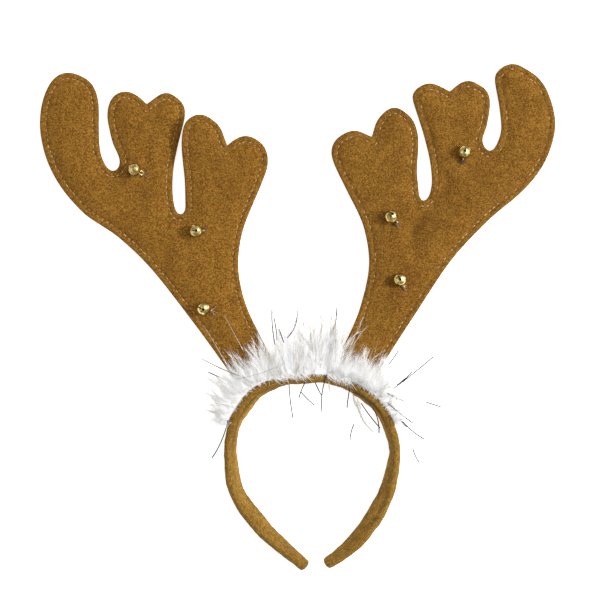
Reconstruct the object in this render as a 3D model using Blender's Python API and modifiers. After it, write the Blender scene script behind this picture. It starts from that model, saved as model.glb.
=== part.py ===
"""Reindeer antler headband: a padded hoop with two felt antlers, feather trim and six jingle bells.

It lies on its back on a table. +X is to the right, +Y runs from the nape to the antler tips,
+Z is up, from the table through the front of the antlers. The table is at Z = 0.
The tables below are in millimetres, measured from the crown of the hoop: across is to the
right and up is towards the antler tips.
"""

import math
import random

import bmesh
import bpy
import numpy as np
from mathutils import Matrix, Vector
from mathutils.geometry import delaunay_2d_cdt

MM = 0.001
SEAM_GAP = 0.3

# Felt antlers
BACK_THICKNESS = 1.4
FRONT_RIM_THICKNESS = 1.6
WADDING_HEIGHT = 2.2
WADDING_REACH = 15.0
FOOT_LIFT = 5.5
FOOT_BEND_LENGTH = 45.0
PANEL_GRID = 11.0
OUTLINE_TURN = math.radians(17)
OUTLINE_STEP = 11.0

# Each antler's edge, from its outer foot over the three tines to its inner foot. Both are cut
# from one pattern, but the right one leans inwards, so each has its own columns.
# place, left across, left up, right across, right up
ANTLER_OUTLINE = [
    ("foot_outer", -49.5, -9.0, 37.5, -8.0),
    ("stem_outer_low", -70.0, 20.0, 59.0, 26.0),
    ("stem_outer_mid", -92.0, 50.0, 78.5, 56.0),
    ("stem_outer_high", -122.0, 88.0, 104.0, 94.0),
    ("elbow_low", -148.0, 112.5, 132.0, 124.0),
    ("elbow", -169.0, 126.5, 150.0, 139.0),
    ("elbow_high", -187.5, 146.5, 165.0, 154.0),
    ("beam_low", -199.5, 169.0, 176.0, 172.0),
    ("beam_mid", -204.5, 193.0, 181.5, 194.0),
    ("beam_high", -202.0, 214.5, 178.0, 214.0),
    ("outer_tip_back", -194.0, 229.5, 169.0, 230.0),
    ("outer_tip_top", -182.0, 234.0, 151.0, 240.5),
    ("outer_tip_front", -167.0, 227.0, 139.5, 236.0),
    ("outer_tip_side", -161.0, 213.0, 136.5, 228.5),
    ("first_slot_outer_high", -160.5, 195.0, 139.5, 210.0),
    ("first_slot_outer_low", -159.5, 176.0, 141.0, 191.0),
    ("first_slot_outer_end", -155.0, 164.5, 137.0, 179.5),
    ("first_slot_bottom", -149.0, 160.5, 132.0, 175.5),
    ("first_slot_inner_end", -145.0, 167.0, 127.0, 183.0),
    ("first_slot_inner_low", -150.0, 181.5, 129.5, 191.5),
    ("first_slot_inner_high", -154.0, 202.0, 132.5, 208.5),
    ("middle_back", -150.0, 215.5, 130.0, 220.5),
    ("middle_back_top", -140.0, 220.0, 117.0, 228.0),
    ("middle_back_dip", -130.5, 216.0, 108.0, 224.5),
    ("middle_notch", -124.5, 210.5, 102.5, 220.0),
    ("middle_front_dip", -118.5, 215.0, 96.0, 223.5),
    ("middle_front_top", -109.5, 219.0, 86.0, 226.0),
    ("middle_front", -99.0, 212.5, 77.0, 221.0),
    ("middle_front_side", -96.0, 203.0, 75.0, 214.0),
    ("second_slot_outer_high", -100.5, 183.0, 82.0, 191.0),
    ("second_slot_outer_mid", -104.5, 163.0, 87.5, 169.0),
    ("second_slot_outer_low", -105.0, 142.5, 89.0, 151.0),
    ("second_slot_outer_end", -102.5, 131.0, 86.5, 141.5),
    ("second_slot_bottom", -99.0, 128.0, 83.0, 138.0),
    ("second_slot_inner_end", -96.0, 132.0, 80.0, 142.0),
    ("second_slot_inner_mid", -96.0, 154.0, 78.0, 161.0),
    ("second_slot_inner_high", -98.0, 178.5, 79.0, 183.0),
    ("inner_back", -95.0, 196.0, 74.5, 199.0),
    ("inner_back_top", -83.5, 202.0, 61.0, 208.0),
    ("inner_back_dip", -70.5, 194.0, 49.0, 199.5),
    ("inner_notch", -64.0, 179.0, 44.0, 186.0),
    ("inner_front_dip", -58.0, 183.5, 37.5, 189.0),
    ("inner_front_top", -49.0, 186.0, 29.0, 190.5),
    ("inner_front", -37.0, 179.0, 17.0, 183.5),
    ("inner_front_side", -34.0, 164.0, 14.5, 170.0),
    ("throat_high", -43.5, 139.0, 27.0, 142.5),
    ("throat", -52.5, 116.0, 37.5, 120.0),
    ("throat_mid", -56.0, 90.0, 42.0, 92.0),
    ("throat_low", -51.5, 64.0, 37.0, 64.0),
    ("stem_inner_low", -41.5, 41.0, 28.5, 41.0),
    ("foot_inner", -22.0, 3.5, 9.5, 4.5),
]
SHARP_PLACES = {"foot_outer", "middle_notch", "inner_notch", "foot_inner"}
STEM_PLACES = {
    "foot_outer", "stem_outer_low", "stem_outer_mid", "stem_outer_high",
    "throat_mid", "throat_low", "stem_inner_low", "foot_inner",
}

# The hoop's middle line from one free end over the crown to the other. Its section is a
# rounded bar, deep across the head's skin, whose inner face turns up towards the free ends.
# place, across, up, thick, deep, turn in degrees
HOOP_SECTIONS = [
    ("left_end", -5.0, -136.0, 6.0, 9.0, 42.0),
    ("left_wrist", -20.0, -123.0, 6.5, 12.0, 42.0),
    ("left_flare", -34.0, -110.5, 7.0, 14.5, 44.0),
    ("left_low", -48.0, -94.0, 7.0, 15.0, 44.0),
    ("left_bend", -57.0, -79.0, 7.0, 15.0, 34.0),
    ("left_side", -61.5, -56.0, 7.0, 15.0, 27.0),
    ("left_high", -60.5, -35.0, 7.0, 15.0, 20.0),
    ("left_shoulder", -54.0, -19.5, 7.0, 15.0, 20.0),
    ("left_turn", -42.0, -5.5, 7.0, 15.0, 16.0),
    ("left_crown", -22.0, 3.0, 6.8, 15.0, 6.0),
    ("crown", 1.0, 5.0, 6.8, 15.0, 0.0),
    ("right_crown", 20.0, 2.5, 6.8, 15.0, 6.0),
    ("right_turn", 38.0, -7.0, 7.0, 15.0, 14.0),
    ("right_shoulder", 52.0, -21.0, 7.0, 15.0, 17.0),
    ("right_high", 60.0, -42.0, 7.0, 15.0, 15.0),
    ("right_side", 60.0, -59.0, 7.0, 15.0, 22.0),
    ("right_bend", 55.0, -79.5, 7.0, 15.0, 37.0),
    ("right_low", 46.0, -98.0, 7.0, 15.0, 45.0),
    ("right_flare", 32.0, -116.0, 7.0, 14.5, 38.0),
    ("right_wrist", 20.0, -127.0, 6.5, 12.0, 34.0),
    ("right_end", 10.0, -133.5, 6.0, 9.0, 36.0),
]
HOOP_CORNER_SHARE = 0.4
HOOP_SINK = 0.3
HOOP_STEPS = 3
HOOP_CORNER_POINTS = 2
HOOP_END_ROUNDING = 2.5

# The feather trim on the hoop's outer face. Each row holds at one place of the hoop table,
# counted in rows with fractions: how far the feathers reach out, and their lowest and
# highest points.
# place, hoop row, reach, low, high
TRIM_SECTIONS = [
    ("left_end", 6.3, 5.0, 3.0, 13.0),
    ("left_low", 6.8, 16.0, 1.5, 16.0),
    ("left_cluster", 7.3, 27.0, 0.8, 18.0),
    ("left_foot", 8.0, 27.0, 0.8, 21.0),
    ("left_inner", 8.8, 28.0, 0.8, 22.0),
    ("crown_left", 9.5, 36.0, 0.8, 23.0),
    ("crown_mid", 10.2, 38.0, 0.8, 23.0),
    ("crown_right", 10.8, 34.0, 0.8, 22.0),
    ("right_foot", 11.6, 29.0, 0.8, 21.0),
    ("right_cluster", 12.2, 23.0, 0.8, 18.0),
    ("right_low", 12.8, 12.0, 1.5, 16.0),
    ("right_end", 13.5, 5.0, 3.0, 13.0),
]
TRIM_STATIONS = 72
TRIM_LOCKS = 24
TRIM_LOCK_DEPTH = 0.24
TRIM_OVERLAP = 1.2
TRIM_PROFILE_POINTS = 9
TRIM_SEED = 5

# Jingle bells, sewn to the front by a loop. heading is the way the loop points, tilt is how
# far the slotted end is raised, and roll turns the slot about the bell's own axis.
# name, across, up, heading, tilt, roll in degrees
BELLS = [
    ("left_tine", -133.5, 161.0, -24.0, 20.0, 70.0),
    ("left_palm", -87.5, 115.5, 0.0, 34.0, 0.0),
    ("left_stem", -81.5, 57.5, -14.0, 28.0, 12.0),
    ("right_tine", 113.0, 174.5, -100.0, 24.0, 0.0),
    ("right_palm", 58.5, 126.0, -48.0, 20.0, -25.0),
    ("right_stem", 65.0, 79.0, -60.0, 26.0, 0.0),
]
BELL_RADIUS = 5.0
BELL_WALL = 0.5
BELL_SEGMENTS = 14
BELL_RINGS = 8
SLOT_WIDTH = 0.9
SLOT_HOLE_RADIUS = 1.0
SLOT_HALF_ANGLE = 62.0
LOOP_RADIUS = 1.5
LOOP_WIRE = 0.45
LOOP_RISE = 6.1
PELLET_RADIUS = 1.4

# Colours of the finishes, as sRGB hex, with roughness and metallic value
FINISHES = {
    "felt": ("8D652A", 0.95, 0.0),
    "plush": ("9A7533", 0.95, 0.0),
    "marabou": ("EDEDEB", 0.9, 0.0),
    "brass": ("C9A640", 0.25, 1.0),
    "steel": ("A8A8A8", 0.3, 1.0),
}


def clear_scene():
    """Remove whatever the file opened with."""
    for thing in list(bpy.data.objects):
        bpy.data.objects.remove(thing)


def new_collection(name):
    """A collection under the scene's own."""
    group = bpy.data.collections.new(name)
    bpy.context.scene.collection.children.link(group)
    return group


def linear(hex_colour):
    """The linear red, green and blue of an sRGB hex colour."""
    values = [int(hex_colour[i:i + 2], 16) / 255 for i in (0, 2, 4)]
    return [v / 12.92 if v <= 0.04045 else ((v + 0.055) / 1.055) ** 2.4 for v in values]


def new_material(name, finish):
    """A Principled material with one of the finishes."""
    colour, roughness, metallic = FINISHES[finish]
    material = bpy.data.materials.new(name)
    material.use_nodes = True
    shader = material.node_tree.nodes["Principled BSDF"]
    shader.inputs["Base Color"].default_value = (*linear(colour), 1.0)
    shader.inputs["Roughness"].default_value = roughness
    shader.inputs["Metallic"].default_value = metallic
    return material


def new_object(name, mesh, group, finish=None):
    """An object in a collection, as a part with a finish or as a wire cutter without one."""
    thing = bpy.data.objects.new(name, mesh)
    group.objects.link(thing)
    if finish:
        mesh.materials.append(new_material(name + "_" + finish, finish))
    else:
        thing.hide_render = True
        thing.display_type = "WIRE"
    return thing


def mesh_from_faces(name, points, faces):
    """A closed mesh from points in millimetres, with its faces turned outwards."""
    mesh = bpy.data.meshes.new(name)
    mesh.from_pydata([tuple(p * MM for p in point) for point in points], [], faces)
    shape = bmesh.new()
    shape.from_mesh(mesh)
    bmesh.ops.recalc_face_normals(shape, faces=shape.faces)
    shape.to_mesh(mesh)
    shape.free()
    return mesh


def subtract(target, cutter, name):
    """Cut one object out of another with a live Boolean modifier."""
    cut = target.modifiers.new(name, "BOOLEAN")
    cut.operation = "DIFFERENCE"
    cut.object = cutter
    return cut


def smooth_step(share):
    """0 below 0, 1 above 1, and an even S between."""
    share = np.clip(share, 0.0, 1.0)
    return share * share * (3.0 - 2.0 * share)


def through(rows, sharp, position):
    """A point on the smooth curve through all rows, at a row number with a fraction.

    It is a Catmull-Rom curve: the slope at a row comes from its two neighbours, and a sharp
    row or an end has none of its own.
    """
    last = len(rows) - 1
    start = min(int(position), last - 1)
    share = position - start
    here, after = rows[start], rows[start + 1]
    straight = after - here
    leave = straight if start == 0 or start in sharp else (after - rows[start - 1]) / 2
    arrive = straight if start + 1 == last or start + 1 in sharp else (rows[start + 2] - here) / 2
    a, b = share * share, share * share * share
    return (
        (2 * b - 3 * a + 1) * here + (b - 2 * a + share) * leave
        + (3 * a - 2 * b) * after + (b - a) * arrive
    )


def antler_outline(side, places=None):
    """The edge of one antler as points, closer together where it turns."""
    column = 1 if side == "left" else 3
    rows = [row for row in ANTLER_OUTLINE if places is None or row[0] in places]
    knots = np.array([row[column:column + 2] for row in rows])
    sharp = {i for i, row in enumerate(rows) if row[0] in SHARP_PLACES}
    points = []
    for start in range(len(knots) - 1):
        fine = np.array([through(knots, sharp, start + share) for share in np.linspace(0, 0.999, 9)])
        steps = np.diff(fine, axis=0)
        headings = np.unwrap(np.arctan2(steps[:, 1], steps[:, 0]))
        turned = np.abs(np.diff(headings)).sum()
        length = np.linalg.norm(steps, axis=1).sum()
        count = max(1, round(turned / OUTLINE_TURN), round(length / OUTLINE_STEP))
        points += [through(knots, sharp, start + k / count) for k in range(count)]
    points.append(knots[-1])
    return np.array(points)


def edge_distance(points, line):
    """How far each point lies from a line of straight pieces."""
    start, step = line[:-1], np.diff(line, axis=0)
    offset = points[:, None, :] - start[None, :, :]
    share = (offset * step).sum(axis=2) / (step * step).sum(axis=1)
    nearest = offset - np.clip(share, 0, 1)[:, :, None] * step
    return np.linalg.norm(nearest, axis=2).min(axis=1)


def inside(points, outline):
    """Which points lie inside a closed outline, by counting the edges left of each."""
    ends = np.roll(outline, -1, axis=0)
    x, y = points[:, :1], points[:, 1:]
    crosses = (outline[:, 1] > y) != (ends[:, 1] > y)
    rise = np.where(ends[:, 1] == outline[:, 1], 1.0, ends[:, 1] - outline[:, 1])
    at = outline[:, 0] + (y - outline[:, 1]) * (ends[:, 0] - outline[:, 0]) / rise
    return (crosses & (at > x)).sum(axis=1) % 2 == 1


def hoop_rows():
    """The numbers of the hoop table, without the names."""
    return np.array([row[1:] for row in HOOP_SECTIONS])


def hoop_line():
    """The hoop's middle line as points."""
    rows = hoop_rows()
    positions = np.linspace(0, len(rows) - 1, (len(rows) - 1) * HOOP_STEPS + 1)
    return np.array([through(rows, (), p)[:2] for p in positions])


def foot_lift(points):
    """How high the cloth is lifted where it bends up to the middle of the hoop's depth."""
    away = edge_distance(points, hoop_line()) - HOOP_SECTIONS[10][3] / 2
    return FOOT_LIFT * (1.0 - smooth_step(away / FOOT_BEND_LENGTH))


def wadding(points, outline):
    """How high the wadding fills the front layer: none at the stitched edge and at the foot."""
    from_edge = smooth_step(edge_distance(points, outline) / WADDING_REACH)
    from_hoop = smooth_step(edge_distance(points, hoop_line()) / FOOT_BEND_LENGTH)
    return WADDING_HEIGHT * from_edge * from_hoop


def cloth(name, outline, low, high):
    """A cloth layer: the outline filled with a loose grid, given a lower and an upper face."""
    first, last = outline.min(axis=0), outline.max(axis=0)
    across = np.arange(first[0] + PANEL_GRID / 2, last[0], PANEL_GRID)
    up = np.arange(first[1] + PANEL_GRID / 2, last[1], PANEL_GRID)
    grid = np.array([(x + (row % 2) * PANEL_GRID / 2, y) for row, y in enumerate(up) for x in across])
    loop = np.vstack([outline, outline[:1]])
    kept = inside(grid, outline) & (edge_distance(grid, loop) > PANEL_GRID * 0.4)
    flat = [Vector(p) for p in np.vstack([outline, grid[kept]])]
    filled = delaunay_2d_cdt(flat, [], [list(range(len(outline)))], 1, 1e-4)
    flat, faces = np.array([tuple(v) for v in filled[0]]), filled[2]
    count = len(flat)
    points = np.vstack([np.column_stack([flat, low(flat)]), np.column_stack([flat, high(flat)])])
    edges = {(face[i - 1], face[i]) for face in faces for i in range(len(face))}
    rim = [(a, b) for a, b in edges if (b, a) not in edges]
    walls = [(a, b, b + count, a + count) for a, b in sorted(rim)]
    upper = [tuple(i + count for i in face) for face in faces]
    lower = [tuple(reversed(face)) for face in faces]
    return mesh_from_faces(name, points, walls + upper + lower)


def rounded_bar(thick, deep, grow):
    """The hoop's section as (thick, deep) points: a rectangle with rounded corners."""
    radius = thick * HOOP_CORNER_SHARE + grow
    half_thick, half_deep = thick / 2 + grow - radius, deep / 2 + grow - radius
    points = []
    for quarter, (side, end) in enumerate(((1, 1), (-1, 1), (-1, -1), (1, -1))):
        for k in range(HOOP_CORNER_POINTS + 1):
            angle = math.pi / 2 * (quarter + k / HOOP_CORNER_POINTS)
            points.append((
                side * half_thick + radius * math.cos(angle),
                end * half_deep + radius * math.sin(angle),
            ))
    return np.array(points)


def hoop_frame(position):
    """Where the hoop's section is and how it stands, at a row number of its table.

    Returns the middle point, the way out of the head, the section's thick and deep
    directions, and its thickness and depth.
    """
    rows = hoop_rows()
    across, up, thick, deep, turn = through(rows, (), position)
    nearby = 0.02
    ahead = through(rows, (), min(position + nearby, len(rows) - 1))[:2]
    behind = through(rows, (), max(position - nearby, 0))[:2]
    along = (ahead - behind) / np.linalg.norm(ahead - behind)
    outward = np.array([-along[1], along[0], 0.0])
    lean = math.radians(turn)
    thick_way = outward * math.cos(lean) - np.array([0.0, 0.0, math.sin(lean)])
    deep_way = outward * math.sin(lean) + np.array([0.0, 0.0, math.cos(lean)])
    section = rounded_bar(thick, deep, 0.0)
    lowest = (section[:, :1] * thick_way + section[:, 1:] * deep_way)[:, 2].min()
    middle = np.array([across, up, -lowest - HOOP_SINK])
    return middle, outward, thick_way, deep_way, thick, deep


def hoop_mesh(name, grow, floor):
    """The hoop lofted through its sections, grown on all sides, and flat where it rests."""
    last = len(HOOP_SECTIONS) - 1
    positions = list(np.linspace(0, last, last * HOOP_STEPS + 1))
    rings = []
    for position in positions:
        middle, _, thick_way, deep_way, thick, deep = hoop_frame(position)
        section = rounded_bar(thick, deep, grow)
        rings.append(middle + section[:, :1] * thick_way + section[:, 1:] * deep_way)
    rounding = HOOP_END_ROUNDING + grow
    for end, neighbour, place in ((0, 1, 0), (-1, -2, len(rings))):
        ring, middle = rings[end], rings[end].mean(axis=0)
        onward = middle - rings[neighbour].mean(axis=0)
        onward /= np.linalg.norm(onward)
        caps = []
        for angle in (math.radians(35), math.radians(68)):
            caps.append(middle + (ring - middle) * math.cos(angle) + onward * rounding * math.sin(angle))
        rings = caps[::-1] + rings if place == 0 else rings + caps
    size = len(rings[0])
    points = np.vstack(rings)
    points[:, 2] = np.maximum(points[:, 2], floor)
    faces = [tuple(range(size)), tuple(range(len(points) - size, len(points)))]
    for ring in range(len(rings) - 1):
        a, b = ring * size, (ring + 1) * size
        faces += [(a + i, a + (i + 1) % size, b + (i + 1) % size, b + i) for i in range(size)]
    return mesh_from_faces(name, points, faces)


def trim_mesh(name):
    """The feather trim as one fluffy form: a row of locks that fan out of the hoop's outer face.

    A section is an arc from its low to its high point that bulges out by the reach. Two
    waves along the hoop, one for the upper and one for the lower half, draw it into locks.
    """
    rows = np.array([row[1:] for row in TRIM_SECTIONS])
    chance = random.Random(TRIM_SEED)
    uneven = [chance.uniform(0.7, 1.15) for _ in range(TRIM_LOCKS * 2 + 2)]
    size = TRIM_PROFILE_POINTS + 2
    points = []
    for station in range(TRIM_STATIONS + 1):
        share = station / TRIM_STATIONS
        place, reach, low, high = through(rows, (), share * (len(rows) - 1))
        middle, outward, _, _, thick, _ = hoop_frame(place)
        base = middle[:2] + outward[:2] * (thick / 2 - TRIM_OVERLAP)
        height = np.linspace(low, high, TRIM_PROFILE_POINTS)
        for level, z in enumerate(height):
            upper = level >= TRIM_PROFILE_POINTS // 2
            lock = share * TRIM_LOCKS + (0.5 if upper else 0.0)
            number = int(lock) + (TRIM_LOCKS if upper else 0)
            wave = 1.0 - TRIM_LOCK_DEPTH * (1.0 - math.sin(math.pi * (lock % 1.0)))
            angle = math.pi * level / (TRIM_PROFILE_POINTS - 1)
            out = TRIM_OVERLAP + 1.0 + reach * math.sin(angle) ** 0.7 * wave
            if 0 < level < TRIM_PROFILE_POINTS - 1:
                out *= 1.0 + (uneven[number] - 1.0) * math.sin(math.pi * (lock % 1.0))
            points.append((*(base + outward[:2] * out), z))
        points.append((*base, high - 1.0))
        points.append((*base, low + 1.0))
    faces = [tuple(range(size)), tuple(range(len(points) - size, len(points)))]
    for station in range(TRIM_STATIONS):
        a, b = station * size, (station + 1) * size
        faces += [(a + i, a + (i + 1) % size, b + (i + 1) % size, b + i) for i in range(size)]
    return mesh_from_faces(name, np.array(points), faces)


def make_antler(side, parts, hoop_room):
    """Both cloth layers of one antler, ended just short of the hoop."""
    outline = antler_outline(side)
    loop = np.vstack([outline, outline[:1]])
    front_low = BACK_THICKNESS + SEAM_GAP
    layers = (
        ("back", foot_lift, lambda p: foot_lift(p) + BACK_THICKNESS),
        (
            "front",
            lambda p: foot_lift(p) + front_low,
            lambda p: foot_lift(p) + front_low + FRONT_RIM_THICKNESS + wadding(p, loop),
        ),
    )
    for layer, low, high in layers:
        name = "antler_" + side + "_" + layer
        panel = new_object(name, cloth(name, outline, low, high), parts, "felt")
        subtract(panel, hoop_room, "end_at_hoop")


def stem_room(side, cutters):
    """The room that one antler's stem takes up inside the feather trim, with a gap all round."""
    outline = antler_outline(side, STEM_PLACES)
    middle = outline.mean(axis=0)
    ahead = np.roll(outline, -1, axis=0) - np.roll(outline, 1, axis=0)
    sideways = np.column_stack([ahead[:, 1], -ahead[:, 0]])
    sideways /= np.linalg.norm(sideways, axis=1)[:, None]
    away = np.sign(((outline - middle) * sideways).sum(axis=1))[:, None]
    outline = outline + sideways * away * SEAM_GAP * 2
    top = BACK_THICKNESS + SEAM_GAP + FRONT_RIM_THICKNESS + WADDING_HEIGHT
    name = "room_for_stem_" + side
    mesh = cloth(
        name, outline,
        lambda p: foot_lift(p) - SEAM_GAP,
        lambda p: foot_lift(p) + SEAM_GAP + top,
    )
    return new_object(name, mesh, cutters)


def cutter_from(shape, name, cutters):
    """A wire cutter object from a bmesh, which is freed."""
    mesh = bpy.data.meshes.new(name)
    shape.to_mesh(mesh)
    shape.free()
    return new_object(name, mesh, cutters)


def bell_tools(cutters):
    """What is cut from every bell: a slot across its lower half and a round hole at each end."""
    shape = bmesh.new()
    top = -BELL_RADIUS * math.cos(math.radians(SLOT_HALF_ANGLE))
    bottom = -BELL_RADIUS - 1.0
    bar = Matrix.LocRotScale(
        Vector((0, 0, (top + bottom) / 2)) * MM, None,
        Vector((BELL_RADIUS * 2.4, SLOT_WIDTH, top - bottom)) * MM,
    )
    bmesh.ops.create_cube(shape, size=1.0, matrix=bar)
    tools = [cutter_from(shape, "slot_bar", cutters)]
    for end, name in ((-1, "slot_hole_left"), (1, "slot_hole_right")):
        shape = bmesh.new()
        tilt = Matrix.Rotation(math.radians(180.0 - end * SLOT_HALF_ANGLE), 4, "Y")
        bmesh.ops.create_cone(
            shape, cap_ends=True, segments=8, depth=3.0 * MM,
            matrix=tilt @ Matrix.Translation((0, 0, BELL_RADIUS * MM)),
            radius1=SLOT_HOLE_RADIUS * MM, radius2=SLOT_HOLE_RADIUS * MM,
        )
        tools.append(cutter_from(shape, name, cutters))
    return tools


def applied(thing):
    """The mesh of an object with its modifiers carried out."""
    bpy.context.view_layer.update()
    seen = thing.evaluated_get(bpy.context.evaluated_depsgraph_get())
    return bpy.data.meshes.new_from_object(seen)


def bell_mesh(cutters):
    """One bell about its centre: a thin shell with a slot below and a sewing loop on top."""
    shape = bmesh.new()
    bmesh.ops.create_uvsphere(
        shape, u_segments=BELL_SEGMENTS, v_segments=BELL_RINGS, radius=BELL_RADIUS * MM,
    )
    outer = bpy.data.meshes.new("bell_shell")
    shape.to_mesh(outer)
    shape.free()
    shell = new_object("bell_shell", outer, cutters)
    wall = shell.modifiers.new("wall", "SOLIDIFY")
    wall.thickness = BELL_WALL * MM
    wall.offset = -1.0
    for tool in bell_tools(cutters):
        subtract(shell, tool, "slot")
    bpy.ops.mesh.primitive_torus_add(
        major_radius=LOOP_RADIUS * MM, minor_radius=LOOP_WIRE * MM,
        major_segments=10, minor_segments=5,
        location=(0, 0, LOOP_RISE * MM), rotation=(math.pi / 2, 0, 0),
    )
    loop = bpy.context.active_object
    loop.name = "bell_loop"
    for group in list(loop.users_collection):
        group.objects.unlink(loop)
    cutters.objects.link(loop)
    loop.hide_render = True
    loop.display_type = "WIRE"
    joined = shell.modifiers.new("loop", "BOOLEAN")
    joined.operation = "UNION"
    joined.object = loop
    return applied(shell)


def make_bells(parts, cutters):
    """Six bells on the front of the felt, each with the loose ball that rings it."""
    pattern = bell_mesh(cutters)
    outlines = {side: antler_outline(side) for side in ("left", "right")}
    felt_top = BACK_THICKNESS + SEAM_GAP + FRONT_RIM_THICKNESS
    for name, across, up, heading, tilt, roll in BELLS:
        outline = outlines[name.split("_")[0]]
        loop = np.vstack([outline, outline[:1]])
        around = np.linspace(0, 2 * math.pi, 12, endpoint=False)
        ring = np.column_stack([np.cos(around), np.sin(around)]) * BELL_RADIUS + (across, up)
        under = np.vstack([ring, [(across, up)]])
        cloth_height = felt_top + (foot_lift(under) + wadding(under, loop)).max()
        turned = (
            Matrix.Rotation(math.radians(heading), 4, "Z")
            @ Matrix.Rotation(math.radians(90.0 + tilt), 4, "Y")
            @ Matrix.Rotation(math.radians(roll), 4, "Z")
        )
        lowest = min((turned @ v.co).z for v in pattern.vertices) / MM
        height = cloth_height + SEAM_GAP - lowest
        bell = new_object("bell_" + name, pattern.copy(), parts, "brass")
        bell.matrix_world = Matrix.Translation(Vector((across, up, height)) * MM) @ turned
        drop = BELL_RADIUS - BELL_WALL - SEAM_GAP - PELLET_RADIUS
        shape = bmesh.new()
        bmesh.ops.create_icosphere(shape, subdivisions=2, radius=PELLET_RADIUS * MM)
        ball = bpy.data.meshes.new("pellet_" + name)
        shape.to_mesh(ball)
        shape.free()
        pellet = new_object("pellet_" + name, ball, parts, "steel")
        pellet.location = Vector((across, up, height - drop)) * MM


def set_on_table(groups):
    """Hang everything on one empty, moved so that the whole thing stands centred on the origin."""
    corners = []
    bpy.context.view_layer.update()
    graph = bpy.context.evaluated_depsgraph_get()
    for thing in groups[0].objects:
        seen = thing.evaluated_get(graph)
        corners += [seen.matrix_world @ v.co for v in seen.data.vertices]
    corners = np.array([tuple(c) for c in corners])
    low, high = corners.min(axis=0), corners.max(axis=0)
    frame = bpy.data.objects.new("headband_frame", None)
    bpy.context.scene.collection.objects.link(frame)
    for group in groups:
        for thing in group.objects:
            thing.parent = frame
    frame.location = (-(low[0] + high[0]) / 2, -(low[1] + high[1]) / 2, -low[2])


def main():
    clear_scene()
    parts = new_collection("reindeer_antler_headband")
    cutters = new_collection("cutters")
    new_object("headband", hoop_mesh("headband", 0.0, 0.0), parts, "plush")
    hoop_room = new_object("room_for_hoop", hoop_mesh("room_for_hoop", SEAM_GAP, -SEAM_GAP), cutters)
    trim = new_object("marabou_trim", trim_mesh("marabou_trim"), parts, "marabou")
    subtract(trim, hoop_room, "around_hoop")
    for side in ("left", "right"):
        make_antler(side, parts, hoop_room)
        subtract(trim, stem_room(side, cutters), "around_stem_" + side)
    make_bells(parts, cutters)
    set_on_table((parts, cutters))
    bpy.context.view_layer.update()


main()
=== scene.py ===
# %% [markdown]
# # A reindeer antler headband, dressed piece by piece
# The exact solids of the headband are loaded first and stay where they are. Each soft piece
# of it is then made again with the surface that the real one has: felt, plush, down, thread,
# thin film and pressed brass. It lies on a pale table and is seen from straight above.

import math

import bmesh
import bpy
import numpy as np
from mathutils import Matrix, Vector
from mathutils.geometry import delaunay_2d_cdt


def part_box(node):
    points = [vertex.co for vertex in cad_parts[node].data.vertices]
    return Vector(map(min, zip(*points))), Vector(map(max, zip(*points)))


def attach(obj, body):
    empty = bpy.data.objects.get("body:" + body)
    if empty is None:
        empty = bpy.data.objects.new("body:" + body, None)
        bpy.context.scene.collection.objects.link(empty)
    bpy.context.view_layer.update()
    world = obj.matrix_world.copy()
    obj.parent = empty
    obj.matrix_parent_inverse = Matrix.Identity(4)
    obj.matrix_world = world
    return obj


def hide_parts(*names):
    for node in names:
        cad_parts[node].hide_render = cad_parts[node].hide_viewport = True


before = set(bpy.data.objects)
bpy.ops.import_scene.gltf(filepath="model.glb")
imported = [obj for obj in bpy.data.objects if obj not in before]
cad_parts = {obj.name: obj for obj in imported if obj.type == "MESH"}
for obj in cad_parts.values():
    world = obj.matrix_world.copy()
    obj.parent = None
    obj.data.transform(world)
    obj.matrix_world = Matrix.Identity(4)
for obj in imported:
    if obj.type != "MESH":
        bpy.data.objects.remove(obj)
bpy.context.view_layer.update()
MM = 0.001

# %% [markdown]
# ## Where things are
# Lengths below are millimetres in the frame, and meshes are turned to metres when they are
# made. Places that were read off the photograph are kept as its pixels, and one function
# turns them to the frame. The camera looks straight down from two metres, as a long lens on a
# copy stand does, so a thing that is higher by z is drawn larger by z over two metres.

# %% Photograph pixels to millimetres
MM_PER_PIXEL = 0.75
CAMERA_HEIGHT = 2000.0
PHOTO_SIDE = 600
CAMERA_X, CAMERA_Y = 1.75, 13.3


def from_photo(across, down, height=0.0):
    """The frame's x and y of photo pixels, for points at a height: the offset from the
    picture's middle, in mm, shrunk by the share that the point is nearer to the camera."""
    nearer = 1.0 - np.asarray(height) / CAMERA_HEIGHT
    x = CAMERA_X + (np.asarray(across) - PHOTO_SIDE / 2) * MM_PER_PIXEL * nearer
    y = CAMERA_Y + (PHOTO_SIDE / 2 - np.asarray(down)) * MM_PER_PIXEL * nearer
    return x, y


print("photo corner in mm:", from_photo(0, 0))

# %% [markdown]
# ## Camera, table and light
# The photograph has a pure white ground, a light from the right and short dark shadows on
# the left of each bell. A ground like that is a lit table, so the paper glows a little. A
# small lamp on the right draws the shadows, a broad bright part of the sky round it gives the
# bells their white flanks, and the rest of the sky is dimmer, which keeps their other side dark.

# %% Camera
camera_data = bpy.data.cameras.new("camera")
camera_data.sensor_width = 36.0
camera_data.lens = camera_data.sensor_width * CAMERA_HEIGHT / (PHOTO_SIDE * MM_PER_PIXEL)
camera = bpy.data.objects.new("camera", camera_data)
camera.location = (CAMERA_X * MM, CAMERA_Y * MM, CAMERA_HEIGHT * MM)
bpy.context.scene.collection.objects.link(camera)
bpy.context.scene.camera = camera
print("lens", round(camera_data.lens, 1))

# %% Colours and nodes


def linear(hex_colour):
    """Linear red, green, blue and alpha of an sRGB hex colour: each channel below 0.04045 is
    divided by 12.92, and above it is raised to the power 2.4 on a shifted scale."""
    values = np.array([int(hex_colour[i:i + 2], 16) / 255 for i in (1, 3, 5)])
    curve = np.where(values <= 0.04045, values / 12.92, ((values + 0.055) / 1.055) ** 2.4)
    return (*curve.tolist(), 1.0)


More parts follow.
